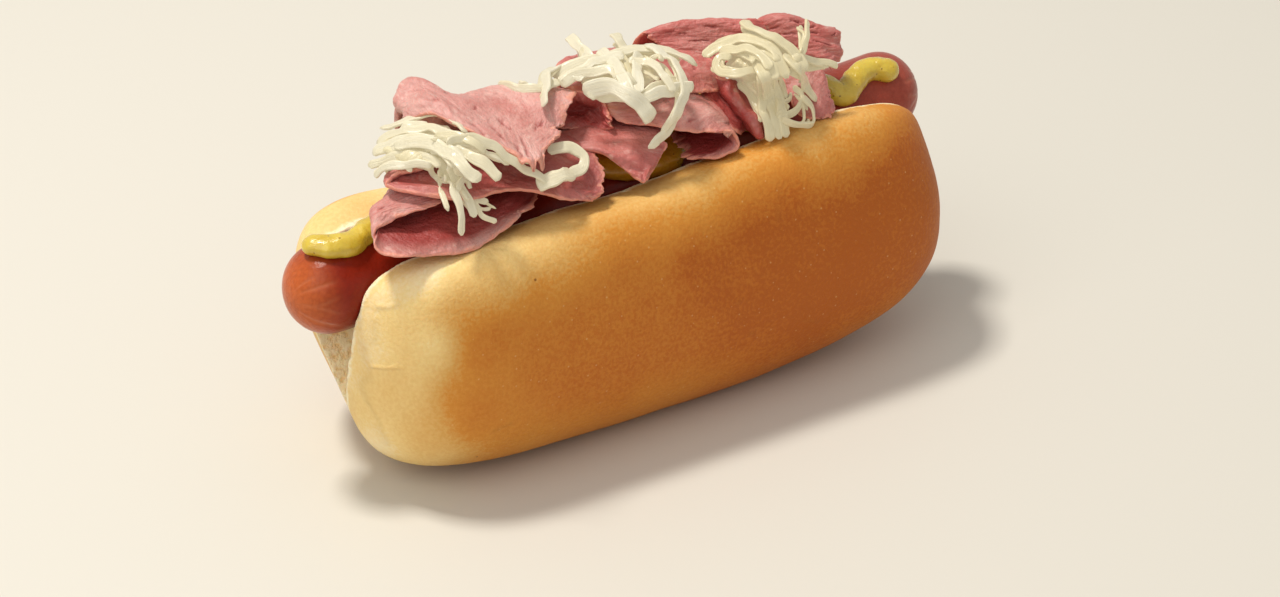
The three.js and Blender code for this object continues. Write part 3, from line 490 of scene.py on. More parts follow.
def new_group(name, output, **inputs):
    """A shader node group: a vector and some numbers with their usual values go in, and one number comes
    out."""
    tree = bpy.data.node_groups.new(name, "ShaderNodeTree")
    tree.interface.new_socket("Vector", in_out="INPUT", socket_type="NodeSocketVector")
    for key, value in inputs.items():
        tree.interface.new_socket(key, in_out="INPUT", socket_type="NodeSocketFloat").default_value = value
    tree.interface.new_socket(output, in_out="OUTPUT", socket_type="NodeSocketFloat")
    return tree, tree.nodes.new("NodeGroupInput").outputs, tree.nodes.new("NodeGroupOutput").inputs


def mottle_group():
    """Cloudy variation, 0 to 1: noise at a scale, with its contrast set by Low and High."""
    tree, given, result = new_group("Mottle", "Value", Scale=100.0, Low=0.35, High=0.65)
    noise = node(tree, "ShaderNodeTexNoise",
                 {"Vector": given["Vector"], "Scale": given["Scale"], "Detail": 4.0, "Roughness": 0.55})
    tree.links.new(steps(tree, noise.outputs["Fac"], given["Low"], given["High"]), result["Value"])
    return tree


def specks_group():
    """Small round spots: 1 inside Size of a cell's point, on the share of cells that Share gives."""
    tree, given, result = new_group("Specks", "Mask", Scale=300.0, Size=0.2, Share=0.3)
    cells = node(tree, "ShaderNodeTexVoronoi", {"Vector": given["Vector"], "Scale": given["Scale"]})
    chance = node(tree, "ShaderNodeSeparateColor", {0: cells.outputs["Color"]}).outputs[0]
    chosen = math_node(tree, "LESS_THAN", chance, given["Share"])
    half_size = math_node(tree, "MULTIPLY", given["Size"], 0.5)
    spot = steps(tree, cells.outputs["Distance"], given["Size"], half_size)
    tree.links.new(math_node(tree, "MULTIPLY", spot, chosen), result["Mask"])
    return tree


def fibres_group():
    """Long streaks along the piece's own length: noise that is stretched along the first axis of the
    vector."""
    tree, given, result = new_group("Fibres", "Value", Across=900.0, Along=60.0, Low=0.3, High=0.7)
    along, across = given["Along"], given["Across"]
    scale = node(tree, "ShaderNodeCombineXYZ", {0: along, 1: across, 2: across})
    factors = {0: given["Vector"], 1: scale.outputs[0]}
    stretched = node(tree, "ShaderNodeVectorMath", factors, operation="MULTIPLY")
    noise = node(tree, "ShaderNodeTexNoise",
                 {"Vector": stretched.outputs[0], "Scale": 1.0, "Detail": 5.0, "Roughness": 0.6})
    tree.links.new(steps(tree, noise.outputs["Fac"], given["Low"], given["High"]), result["Value"])
    return tree


MOTTLE = mottle_group()
SPECKS = specks_group()
FIBRES = fibres_group()


def effect(tree, group, **inputs):
    """The output of a group with its inputs set."""
    return node(tree, "ShaderNodeGroup", inputs, node_tree=group).outputs[0]


def mottled(tree, vector, scale, low=0.3, high=0.7):
    """Cloudy variation, 0 to 1."""
    return effect(tree, MOTTLE, Vector=vector, Scale=scale, Low=low, High=high)


def spotted(tree, vector, scale, size, share):
    """Small round spots."""
    return effect(tree, SPECKS, Vector=vector, Scale=scale, Size=size, Share=share)


def streaked(tree, vector, across, along, low=0.3, high=0.7):
    """Long streaks, 0 to 1."""
    return effect(tree, FIBRES, Vector=vector, Across=across, Along=along, Low=low, High=high)


def new_material(name, **constants):
    """A material with a Principled BSDF whose constant sockets are set, and its node tree."""
    material = bpy.data.materials.new(name)
    material.use_nodes = True
    for key, value in constants.items():
        material.node_tree.nodes["Principled BSDF"].inputs[key.replace("_", " ")].default_value = value
    return material, material.node_tree


def finished(material, base, height, strength, distance):
    """The material with its base colour joined on, and a relief that is as deep as the distance, in metres."""
    tree = material.node_tree
    shader = tree.nodes["Principled BSDF"]
    tree.links.new(base, shader.inputs["Base Color"])
    relief = node(tree, "ShaderNodeBump", {"Height": height, "Strength": strength, "Distance": distance})
    tree.links.new(relief.outputs["Normal"], shader.inputs["Normal"])
    return material


def object_place(tree):
    """The place on the piece, in metres."""
    return node(tree, "ShaderNodeTexCoord").outputs["Object"]


def flat_place(tree):
    """The place on the flattened piece, along and across its fibres."""
    return node(tree, "ShaderNodeUVMap", uv_map="UVMap").outputs[0]


def own_value(tree, name):
    """One of the piece's named values."""
    return node(tree, "ShaderNodeAttribute", attribute_name=name).outputs["Fac"]


def crust_and_crumb():
    """Baked crust from cream through golden to brown, mottled and finely pored, with painted shade along its
    small grooves and pits, and open white crumb in the cut."""
    material, tree = new_material("Roll", Subsurface_Weight=0.1, Subsurface_Scale=0.0015,
                                  Subsurface_Radius=(1.0, 0.55, 0.25), Specular_IOR_Level=0.2, Roughness=0.52)
    place = object_place(tree)
    browning = own_value(tree, "browning")
    cloud = mottled(tree, place, 38.0, 0.2, 0.8)
    grain = mottled(tree, place, 1100.0)
    uneven = math_node(tree, "MULTIPLY_ADD", cloud, 0.10, -0.05)
    clouded = math_node(tree, "ADD", browning, uneven)
    grained = math_node(tree, "MULTIPLY_ADD", grain, 0.18, -0.09)
    share = math_node(tree, "MULTIPLY_ADD", browning, 0.8, 0.2)
    baked = math_node(tree, "ADD", clouded, math_node(tree, "MULTIPLY", grained, share))
    ramp = node(tree, "ShaderNodeValToRGB", {"Fac": baked})
    stops = ramp.color_ramp.elements
    stops[0].color, stops[1].color = colour(CRUST_COLOURS[0][1]), colour(CRUST_COLOURS[-1][1])
    for position, code in CRUST_COLOURS[1:-1]:
        stops.new(position).color = colour(code)
    blister = spotted(tree, place, 520.0, 0.16, 0.35)
    crust = layer(tree, ramp.outputs[0], blister, "EBC88C", 0.3)
    pit = spotted(tree, place, 70.0, 0.03, 0.12)
    crust = layer(tree, crust, pit, "6E3A14", 0.7)
    # Painted shade along the crust's small grooves and pits.
    crust = layer(tree, crust, own_value(tree, "mark"), "9A6428", 0.4)
    crumb = own_value(tree, "crumb")
    pores = mottled(tree, place, 620.0, 0.24, 0.58)
    inside = tint(tree, pores, colour("F8D494"), colour("FFF0CA"))
    open_pores = math_node(tree, "MULTIPLY", pores, crumb)
    relief = math_node(tree, "ADD", open_pores, math_node(tree, "MULTIPLY", grain, 0.22))
    return finished(material, tint(tree, crumb, crust, inside), relief, 0.5, 0.0006)


def sausage_skin():
    """Taut red-brown skin, deeper in clouds, with a soft shine and paler wrinkles at the tips. The tips are
    paler, the left one most, partly as painted light, and the right end is paler and greyer, a painted soft
    reflection.
    """
    material, tree = new_material("Frankfurter", Subsurface_Weight=0.1, Subsurface_Scale=0.002,
                                  Subsurface_Radius=(1.0, 0.3, 0.15), Specular_IOR_Level=0.22,
                                  Coat_Weight=0.05, Coat_Roughness=0.2, Roughness=0.3)
    place = object_place(tree)
    cloud = mottled(tree, place, 70.0)
    fine = mottled(tree, place, 900.0)
    skin = tint(tree, cloud, colour("7C1C0C"), colour("8E2612"))
    # Painted light: paler tips, the left one most, partly their own paler skin.
    skin = layer(tree, skin, own_value(tree, "tip"), "C4622E")
    # Painted reflection: paler and greyer towards the right end.
    skin = layer(tree, skin, own_value(tree, "far"), "A85040", 0.85)
    skin = layer(tree, skin, fine, "6E1A0C", 0.25)
    skin = layer(tree, skin, own_value(tree, "wrinkle"), "D88A60", 0.25)
    return finished(material, skin, fine, 0.25, 0.0002)


def mustard_paste():
    """Wet yellow paste with brown seed specks, darker ochre in the middle, partly from juice and partly as
    painted shade.
    """
    material, tree = new_material("Mustard", Subsurface_Weight=0.25, Subsurface_Scale=0.003,
                                  Subsurface_Radius=(1.0, 0.8, 0.2), Coat_Weight=0.6, Coat_Roughness=0.08,
                                  Roughness=0.25)
    place = object_place(tree)
    cloud = mottled(tree, place, 160.0)
    paste = tint(tree, cloud, colour("C8A82A"), colour("D8BE44"))
    # Darker ochre in the middle: partly juice, partly painted shade.
    paste = layer(tree, paste, own_value(tree, "soaked"), "D08818")
    speck = spotted(tree, place, 700.0, 0.22, 0.34)
    paste = layer(tree, paste, speck, "8A6418", 0.8)
    fine = mottled(tree, place, 500.0)
    return finished(material, paste, math_node(tree, "ADD", speck, fine), 0.4, 0.0004)


def corned_beef():
    """Moist rosy meat with long fibres and small fat flecks; the ragged rim is paler. The inside of a fold and
    the tears are deeper red, which is painted shade, and paleness is partly painted light."""
    material, tree = new_material("Corned beef", Subsurface_Weight=0.2, Subsurface_Scale=0.0015,
                                  Subsurface_Radius=(1.0, 0.3, 0.25), Coat_Weight=0.15, Coat_Roughness=0.35,
                                  Roughness=0.45)
    place = object_place(tree)
    flat = flat_place(tree)
    streaks = streaked(tree, flat, 700.0, 260.0)
    cloud = mottled(tree, place, 110.0)
    grain = mottled(tree, place, 900.0)
    lean = tint(tree, cloud, colour("B4463F"), colour("C4605A"))
    fatty = tint(tree, cloud, colour("CE968C"), colour("DEB0A6"))
    # Paleness: partly fattier meat, partly painted light.
    meat = tint(tree, own_value(tree, "pale"), lean, fatty)
    meat = layer(tree, meat, streaks, "B8625C", 0.35)
    pale_streaks = streaked(tree, flat, 520.0, 150.0, 0.5, 0.75)
    meat = layer(tree, meat, pale_streaks, "ECC8BC", 0.45)
    seams = streaked(tree, flat, 230.0, 60.0, 0.68, 0.76)
    meat = layer(tree, meat, seams, "9A3A38", 0.4)
    fleck = spotted(tree, place, 330.0, 0.3, 0.06)
    meat = layer(tree, meat, fleck, "EBC9B8", 0.4)
    # Painted shade: deeper red inside folds and in the tears.
    meat = layer(tree, meat, own_value(tree, "depth"), "94221E")
    meat = layer(tree, meat, own_value(tree, "rim"), "E89C84", 0.7)
    raised = math_node(tree, "ADD", streaks, grain)
    relief = math_node(tree, "SUBTRACT", raised, math_node(tree, "MULTIPLY", seams, 3.0))
    return finished(material, meat, relief, 0.5, 0.0003)


def pickled_cabbage():
    """Wet ivory shreds that let some light through, streaked along their length, with a faint painted glow
    that lifts their shade.
    """
    # The emission is painted light: a faint glow that lifts the shade between the shreds.
    material, tree = new_material("Sauerkraut", Subsurface_Weight=0.15, Subsurface_Scale=0.0008,
                                  Subsurface_Radius=(1.0, 0.95, 0.85), Coat_Weight=0.2, Coat_Roughness=0.15,
                                  Emission_Strength=0.2, Emission_Color=colour("FBF0CA"), Roughness=0.3)
    veins = streaked(tree, flat_place(tree), 1500.0, 120.0)
    shred = tint(tree, own_value(tree, "tone"), colour("CCC7B6"), colour("BAAE88"))
    shred = layer(tree, shred, veins, "E4D6AE", 0.3)
    return finished(material, shred, veins, 0.5, 0.0003)


# ---------------------------------------------------------------- the roll
def roll_section(t):
    """Half of the roll's cross-section at shares t of its length, from the middle of the bottom to the
    middle of the top: a flat, a curve to the widest point, one over to the crest, and a dip over the
    lip."""
    w, h, f = ROLL["half_width"], ROLL["height"], ROLL["flat_half"]
    lip_y, lip_z, crest_y = ROLL["lip_y"], ROLL["height"] - ROLL["lip_drop"], ROLL["crest_y"]
    s = np.linspace(0, 1, 120)[:, None]

    def cubic(a, b, c, d):
        """Cubic curve from a to d that heads for b and comes from c."""
        a, b, c, d = map(np.array, (a, b, c, d))
        return a * (1 - s) ** 3 + 3 * b * s * (1 - s) ** 2 + 3 * c * s**2 * (1 - s) + d * s**3

    path = np.concatenate([
        np.array([[0.0, 0.0]]),
        cubic((f, 0), (f + 10, 0), (w - 0.8, 10), (w, 28)),
        cubic((w, 28), (w + 0.3, 44), (crest_y + 8.5, h), (crest_y, h))[1:],
        cubic((crest_y, h), (crest_y - 5, h), (lip_y + 2, lip_z), (lip_y, lip_z))[1:],
        np.array([[0.0, lip_z - 2]]),
    ])
    length = np.concatenate([[0], np.cumsum(np.linalg.norm(np.diff(path, axis=0), axis=1))])
    return np.interp(t * length[-1], length, path[:, 0]), np.interp(t * length[-1], length, path[:, 1])


def roll_lift(x):
    """How far the underside has lifted at x: a square law from where each end starts to rise."""
    (from_left, left), (from_right, right) = ROLL["lift_left"], ROLL["lift_right"]
    rise_right = right * np.clip((x - from_right) / (ROLL["half_length"] - from_right), 0, None) ** 2
    rise_left = left * np.clip((-x - from_left) / (ROLL["half_length"] - from_left), 0, None) ** 2
    return np.where(x > 0, rise_right, rise_left)


def roll_crest(along, front):
    """Height of a lobe's crest, from its left end (along = -1) to its right end (1), with a slow wave in
    it."""
    share = (along + 1) / 2
    line = np.where(front, mix(ROLL["front_crest"], share), mix(ROLL["back_crest"], share))
    return line + 0.45 * np.sin(7 * along + np.where(front, -1, 1)) + 0.3 * np.sin(15 * along)


def roll_surface(u, v):
    """The uncut roll. u goes round the section and v along the roll, closer together towards its ends. The
    section shrinks towards both ends by the root of 1 - distance^power: sideways by one power, and in
    height by others for each end, above and below the middle. Each lobe's height follows its crest. Low
    down, the left end is tucked up a little more, by a square law."""
    mid, height = ROLL["mid_height"], ROLL["height"]
    side = np.where(u < 0.5, 1, -1)
    y, z = roll_section(np.clip(np.where(u < 0.5, 2 * u, 2 - 2 * u), 0, 1))
    t = 2 * v - 1
    along = np.sign(t) * (1 - (1 - np.abs(t)) ** 2.1)

    def shrink(pair):
        """What is left of the section's size: the root of 1 - distance^power."""
        return (1 - np.abs(along) ** pair[0]) ** (1 / pair[1])

    upper = z > mid
    right = along > 0
    above = np.where(right, shrink(ROLL["top_right"]), shrink(ROLL["top_left"]))
    below = np.where(right, shrink(ROLL["bottom_right"]), shrink(ROLL["bottom_left"]))
    rise = np.where(upper, (roll_crest(along, side < 0) - mid) / (height - mid), 1)
    top = np.where(right, smooth((z - mid) / (height - mid)) ** 2, 0)
    y = side * y * mix((shrink(ROLL["from_above"]), shrink(ROLL["right_crest"])), top)
    z = mid + (z - mid) * np.where(upper, above, below) * rise
    reach_top, draw_foot = ROLL["back_lean"]
    lean = mix((draw_foot, reach_top), smooth(z / 50)) * smooth(0.5 + y / 26) * np.clip(-along, 0, None) ** 3
    x = ROLL["centre_x"] + ROLL["half_length"] * along - lean
    start, most = ROLL["tuck_left"]
    tuck = most * np.clip((start - x) / (ROLL["half_length"] + start), 0, None) ** 2
    tuck = tuck * (1 - smooth(z / ROLL["tuck_height"]))
    return np.stack([x, y, z + roll_lift(x) + tuck - ROLL["flat_cut"]], -1)


def segment_distance(x, z, start, end):
    """Distance of points (x, z) from the straight line between two points."""
    dx, dz = end[0] - start[0], end[1] - start[1]
    share = np.clip(((x - start[0]) * dx + (z - start[1]) * dz) / (dx * dx + dz * dz), 0, 1)
    return np.hypot(x - start[0] - share * dx, z - start[1] - share * dz)


def crust_marks(points):
    """Depth in mm of the small grooves and pits on the front: each is a bell curve across its line."""
    x, y, z = np.moveaxis(points, -1, 0)
    wavy = 0.25 * ripples(points, 6, 14)
    marks = np.zeros_like(x)
    for start, end, width, depth in CRUST_MARKS:
        away = segment_distance(x + wavy, z + wavy, start, end)
        marks = marks + depth * np.exp(-(away / width) ** 2) * (y < MARKS_IN_FRONT_OF)
    return marks


def crust_relief(points):
    """Height of the crust's unevenness in mm: slow swells and finer ones, less the marks on the front."""
    return unevenness(points, ROLL["swells"]) - crust_marks(points)


def cut_half_width(z):
    """Half width of the cut at height z: a soft curve from the foot to the lips, then straight flaring
    sides."""
    foot, foot_half, top_half = CUT["floor"], CUT["floor_half"], CUT["top_half"]
    top = ROLL["height"] - ROLL["lip_drop"] - 1
    t = np.linspace(0, 1, 60)
    control_z, control_half = (top + 1 + foot) / 2, top_half - 2
    curve_z = foot * (1 - t) ** 2 + 2 * control_z * t * (1 - t) + top * t**2
    curve_half = foot_half * (1 - t) ** 2 + 2 * control_half * t * (1 - t) + top_half * t**2
    straight = top_half + CUT["flare"] * (z - top) / 25
    return np.where(z > top, straight, np.interp(z, curve_z, curve_half))


def cut_floor(x):
    """Height of the cut's floor at x: the frankfurter's bed in the middle, sloping to a narrow foot at both
    ends."""
    slope = (CUT["bed"] - CUT["floor"]) / (CUT["foot_end"] - CUT["bed_end"])
    return np.clip(CUT["floor"] + slope * (CUT["foot_end"] - np.abs(x)), CUT["floor"], CUT["bed"])


def cut_block():
    """The block that is cut away: at each station along x, a loop down one wall, over the floor and up the
    other. Below the lips its walls are torn a little unevenly."""
    x = np.concatenate([[-100.0], np.arange(-84, 92.1, 1.1), [110.0]])[:, None]
    floor = cut_floor(x)
    heights = floor + (CUT["block_top"] - floor) * np.linspace(1, 0, 60) ** 1.3
    half = cut_half_width(heights)
    wall = np.stack(np.broadcast_arrays(x, half, heights), -1)
    bottom = np.stack(np.broadcast_arrays(x, half[:, -1:] * np.linspace(1, -1, 8)[1:-1], floor), -1)
    loop = np.concatenate([wall, bottom, wall[:, ::-1] * [1, -1, 1]], 1)
    torn = unevenness(loop, CUT["torn"])
    inner = (loop[..., 2:3] < CUT["torn_below"]) & (np.abs(loop[..., :1]) < 90)
    loop = loop + np.where(inner, np.sign(loop[..., 1:2]) * [0, 1, 0] * torn[..., None], 0)
    return loop.reshape(-1, 3), capped_faces(*loop.shape[:2], 0)


def relax(points, edges, weight, times):
    """Moves each point towards the mean of its neighbours, by its weight, several times."""
    count = np.bincount(edges.ravel(), minlength=len(points))[:, None]
    for _ in range(times):
        total = np.stack([
            np.bincount(edges[:, 0], points[edges[:, 1], k], len(points))
            + np.bincount(edges[:, 1], points[edges[:, 0], k], len(points)) for k in range(3)], -1)
        points = points + weight[:, None] * (total / np.maximum(count, 1) - points)
    return points


def crumb_share(points):
    """1 on the walls of the cut and 0 on the crust: it falls off over a millimetre from the wall,
    unevenly."""
    x, y, z = points.T
    floor = cut_floor(x)
    off_wall = np.abs(np.abs(y) - cut_half_width(z))
    to_wall = np.where(z > floor - CRUMB["over_floor"], off_wall, CRUMB["not_near"])
    axis_y, axis_z = frank_axis(x)
    to_bed = np.abs(np.hypot(y - axis_y, z - axis_z) - FRANK["radius"] - CUT["gap"])
    over_floor = np.abs(y) < cut_half_width(np.maximum(z, floor)) + CRUMB["beside_floor"]
    to_floor = np.where(over_floor, np.abs(z - floor), CRUMB["not_near"])
    inside = np.minimum(np.minimum(to_wall, to_bed), to_floor)
    uneven = unevenness(points, CRUMB["uneven"])
    return 1 - smooth((inside - CRUMB["reach"] - uneven) / CRUMB["fade"])


def browning_of(points):
    """How brown the crust is, 0 cream to 1 brown. From the pale crests it rises down the sides, first quickly
    and then as a smooth step. It is highest towards the right, fades to cream at the left end and inside the
    back lobe there, except along a rim, and is a little paler low down, which is painted light thrown up from
    the floor."""
    x, y, z = points.T
    along = np.clip((x - ROLL["centre_x"]) / ROLL["half_length"], -1, 1)
    drop = np.clip(roll_crest(along, y < 0) + roll_lift(x) - ROLL["flat_cut"] - z, 0, None)
    uneven = unevenness(points, BROWNING["uneven"])
    drop = np.clip(drop * (1 + 4 * uneven), 0, None)
    patch = BROWNING["patch"] * smooth(1 - np.abs(x - BROWNING["patch_x"]) / BROWNING["patch_half"])
    crest = mix(BROWNING["crest"], rise(x, BROWNING["crest_rise"])) + patch
    side = mix(BROWNING["side"], rise(x, BROWNING["side_rise"]))
    quick = BROWNING["quick"] * (1 - np.exp(-drop / BROWNING["quick_depth"]))
    fall = quick + (1 - BROWNING["quick"]) * smooth(drop / BROWNING["slow_depth"])
    # Painted light: paler low down, as if lit from the floor below.
    foot = BROWNING["foot"] * smooth((BROWNING["foot_height"] - z) / BROWNING["foot_depth"])
    end = mix(BROWNING["end"], rise(x + 60 * uneven, BROWNING["end_rise"]))
    brown = (mix((crest, side), fall) - foot) * end + uneven
    opened = rise(-x, OPENED["minus_x"]) * rise(y, OPENED["y"]) * rise(z, OPENED["z"])
    off_rim = y - OPENED["rim_y"] + 2 * ripples(points, 18, 43)
    rim = np.exp(-(off_rim / OPENED["rim_width"]) ** 2)
    return np.clip(brown + opened * (OPENED["colour"] + OPENED["rim"] * rim - brown), 0, 1)


def whole_roll():
    """Points and faces of the uncut roll, its crust uneven except on its flat and at its very ends."""
    rows, columns = ROLL["along"], ROLL["around"]
    v, u = np.meshgrid(np.linspace(0, 1, rows), np.arange(columns) / columns, indexing="ij")
    rings = roll_surface(u, v)
    normals = -grid_normals(rings, wrap_columns=True)
    raised = (rings[..., 2] > 0.5) * (np.abs(2 * v - 1) < 0.995)
    rings = rings + normals * (crust_relief(rings) * raised)[..., None]
    rings[..., 2] = np.maximum(rings[..., 2], 0)
    return closed_tube(rings[1:-1], rings[[0, -1]].mean(1))


def cut_roll(material):
    """The roll's mesh: the whole roll less the block that is cut away and the bed that the frankfurter
    presses."""
    whole = make_piece("roll_whole", *whole_roll(), material)
    block = make_piece("roll_cut", *cut_block(), material)
    bed = make_piece("roll_bed", *frank_shape(240, 96, CUT["gap"], plain=True)[:2], material)
    for piece in (whole, block, bed):
        turn_outward(piece)
    for tool in (block, bed):
        cut = whole.modifiers.new(tool.name, "BOOLEAN")
        cut.operation = "DIFFERENCE"
        cut.solver = "MANIFOLD"
        cut.object = tool
    mesh = bpy.data.meshes.new_from_object(whole.evaluated_get(bpy.context.evaluated_depsgraph_get()))
    mesh.name = "roll"
    for piece in (whole, block, bed):
        bpy.data.objects.remove(piece)
    return mesh


def make_roll(material):
    """The cut roll, the rims of its cut softened a little."""
    mesh = cut_roll(material)
    points = mesh_points(mesh).astype(float) / MM
    edges = np.empty(len(mesh.edges) * 2, dtype=np.int32)
    mesh.edges.foreach_get("vertices", edges)
    crumb = crumb_share(points)
    near_rim = smooth(1 - np.abs(crumb - 0.6) / 0.6) * (points[:, 2] > 1)
    points = relax(points, edges.reshape(-1, 2), 0.5 * near_rim, 6)
    mesh.vertices.foreach_set("co", (points * MM).astype(np.float32).ravel())
    # How much shade is painted into the grooves and pits: their depth, up to half a millimetre.
    mark = np.clip(crust_marks(points) / 0.5, 0, 1)
    set_values(mesh, {"crumb": crumb, "browning": browning_of(points), "mark": mark})
    mesh.polygons.foreach_set("use_smooth", [True] * len(mesh.polygons))
    stand_for(show("roll", mesh), "bun")


def turn_outward(piece):
    """Turns a closed mesh's faces outward if its volume comes out negative."""
    mesh = piece.data
    mesh.calc_loop_triangles()
    corner = np.empty(len(mesh.loop_triangles) * 3, dtype=np.int32)
    mesh.loop_triangles.foreach_get("vertices", corner)
    a, b, c = np.moveaxis(mesh_points(mesh)[corner.reshape(-1, 3)].astype(float), 1, 0)
    if (a * np.cross(b, c)).sum() < 0:
        mesh.flip_normals()


# ---------------------------------------------------------------- the frankfurter
def frank_axis(x):
    """y and z of the frankfurter's middle at x: a straight line between its caps with a little sag."""
    t = (x + FRANK["cap_x"]) / (2 * FRANK["cap_x"])
    sag = FRANK["sag"] * np.sin(PI * np.clip(t, 0, 1))
    return mix((FRANK["left"][0], FRANK["right"][0]), t), mix((FRANK["left"][1], FRANK["right"][1]), t) - sag


def frank_radius(x, grow=0):
    """Radius at x: full between the caps, then round off to the tip."""
    over = np.clip((np.abs(x) - FRANK["cap_x"]) / (FRANK["cap_length"] + grow), 0, 1)
    return (FRANK["radius"] + grow) * np.sqrt(np.clip(1 - over**2.1, 0, None))


def tip_wrinkles(x, angle):
    """Depth of the wrinkles that draw together at each tip: narrow grooves at random angles, which start at
    random distances from the tip and fade out at the very tip."""
    random = np.random.default_rng(5)
    over = (np.abs(x) - FRANK["cap_x"]) / FRANK["cap_length"]
    depth = np.zeros_like(x)
    for _ in range(FRANK["wrinkles"]):
        at = random.uniform(0, 2 * PI)
        bend = random.uniform(-0.5, 0.5)
        start = random.uniform(-0.3, 0.55)
        strength = random.uniform(0.4, 1.0)
        width = random.uniform(0.045, 0.07)
        turn = np.abs((angle + bend * over - at + PI) % (2 * PI) - PI)
        line = np.exp(-(turn / width) ** 2)
        length = smooth((over - start) / 0.35) * smooth((1.02 - over) / 0.2)
        depth = np.maximum(depth, strength * line * length)
    return depth


def frank_shape(rows, columns, grow=0.0, plain=False):
    """Rings round the frankfurter's axis from tip to tip, closer together towards the tips. Wrinkles and a
    faint unevenness press into its radius."""
    reach = FRANK["cap_x"] + FRANK["cap_length"] + grow
    v, u = np.meshgrid(np.linspace(0, 1, rows)[1:-1], np.arange(columns) / columns, indexing="ij")
    x = reach * np.sin((2 * v - 1) * PI / 2)
    angle = 2 * PI * u
    axis_y, axis_z = frank_axis(x)
    radius = frank_radius(x, grow)
    wrinkle = np.zeros_like(x)
    if not plain:
        wrinkle = tip_wrinkles(x, angle)
        around = np.stack([x / 30, np.sin(angle), np.cos(angle)], -1)
        pressed = FRANK["wrinkle"] * wrinkle * radius / FRANK["radius"]
        radius = radius - pressed - FRANK["uneven"] * (1 + ripples(around, 1.1, 51))
    points = np.stack([x, axis_y + radius * np.sin(angle), axis_z + radius * np.cos(angle)], -1)
    tips_x = np.array([-reach, reach])
    points, faces = closed_tube(points, np.stack([tips_x, *frank_axis(tips_x)], -1), turned=True)
    return points, faces, np.concatenate([wrinkle.ravel(), [0.0, 0.0]])


def make_frank(material):
    """The frankfurter: paler at its tips, most at the left one, partly painted light on the lit left tip, and
    paler and greyer towards its right end, a painted soft reflection.
    """
    points, faces, wrinkle = frank_shape(FRANK["along"], FRANK["around"])
    x = points[:, 0]
    # Paler tips, partly painted light on the lit left one, and a painted soft reflection towards the right
    # end.
    tip = rise(np.abs(x), FRANK["tip"]) * mix(FRANK["tip_paleness"], rise(x, FRANK["tip_change"]))
    values = {"wrinkle": wrinkle, "tip": tip, "far": rise(x, FRANK["far"])}
    frank = make_piece("frank", points, faces, material, values)
    turn_outward(frank)
    stand_for(frank, "frankfurter")


# ---------------------------------------------------------------- the mustard
def piped_line():
    """The turns of the mustard's line, laid round the frankfurter at the radius there and a little more."""
    x, degrees = np.array(MUSTARD["turns"], float).T
    angle = np.radians(degrees)
    axis_y, axis_z = frank_axis(x)
    radius = frank_radius(x) + MUSTARD["lift"]
    return np.stack([x, axis_y + radius * np.sin(angle), axis_z + radius * np.cos(angle)], -1)


def make_mustard(material):
    """A round bead along the piped line. Its section leans with the frankfurter's surface, its width swells
    and narrows along the line, and both ends are round. In the middle it is darker ochre: partly juice and
    partly painted shade."""
    turns = piped_line()
    rows, columns = MUSTARD["along"], MUSTARD["around"]
    v = np.linspace(0, 1, rows)[1:-1]
    share = 0.5 - 0.5 * np.cos(PI * v)
    centre = even(turns, share)
    ahead = unit(np.gradient(centre, axis=0))
    middle_y, middle_z = frank_axis(centre[:, 0])
    out = unit(np.stack([np.zeros_like(middle_y), centre[:, 1] - middle_y, centre[:, 2] - middle_z], -1))
    side = unit(np.cross(ahead, out))
    out = unit(np.cross(side, ahead))
    length = np.linalg.norm(np.diff(even(turns, np.linspace(0, 1, 200)), axis=0), axis=1).sum()
    to_end = np.minimum(share, 1 - share) * length
    whole = np.sqrt(np.clip(1 - np.clip(1 - to_end / (MUSTARD["width"] / 2), 0, 1) ** 2, 0, 1))
    swell = 1 + 0.05 * np.sin(share * 70) + 0.04 * np.sin(share * 31 + 1)
    angle = 2 * PI * np.arange(columns) / columns
    wide = (MUSTARD["width"] / 2 * whole * swell)[:, None] * np.sin(angle)
    high = (MUSTARD["height"] / 2 * whole * (2 - swell))[:, None] * np.cos(angle)
    points = centre[:, None] + side[:, None] * wide[..., None] + out[:, None] * high[..., None]
    away = unit(points - centre[:, None])
    points = points + away * unevenness(points, MUSTARD["lumps"])[..., None]
    points, faces = closed_tube(points, even(turns, [0, 1]), turned=True)
    x = points[:, 0]
    # Darker ochre in the middle: partly juice, partly painted shade.
    soaked = MUSTARD["soaked"] * rise(x, MUSTARD["soaked_from"]) * rise(-x, MUSTARD["soaked_to"])
    mustard = make_piece("mustard_bead", points, faces, material, {"soaked": soaked})
    turn_outward(mustard)
    stand_for(mustard, "mustard")


# ---------------------------------------------------------------- the corned beef
def slice_surface(rails, key, a, b):
    """Middle surface of a slice: rails are followed by a and crossed by b, both from -1 to 1. The square of
    a and b is drawn in to a rounded one, and its edge is made ragged by uneven waves round it."""
    corner, ragged = SLICE["corner"], SLICE["ragged"]
    reach = np.maximum(np.abs(a), np.abs(b))
    turn = np.arctan2(b, a)
    ring = np.stack([np.cos(turn), np.sin(turn)], -1)
    rag = ragged * (ripples(ring, 0.9, 200 + key) + 0.7 * ripples(ring, 0.35, 220 + key))
    fine = 0.010 * ripples(ring, 0.12, 240 + key) + 0.006 * ripples(ring, 0.05, 260 + key)
    square = np.maximum((np.abs(a) ** corner + np.abs(b) ** corner) ** (1 / corner), 1e-9)
    rounded = np.where(reach > 0, reach / square, 1)
    k = rounded * (1 + (rag - ragged) * reach**4 + fine * reach**10)
    s, t = [np.clip(0.5 + 0.5 * c * k, 0, 1) for c in (a, b)]
    across = np.stack([spline(np.array(rail, float), s) for rail in rails])
    return spline(across, t)


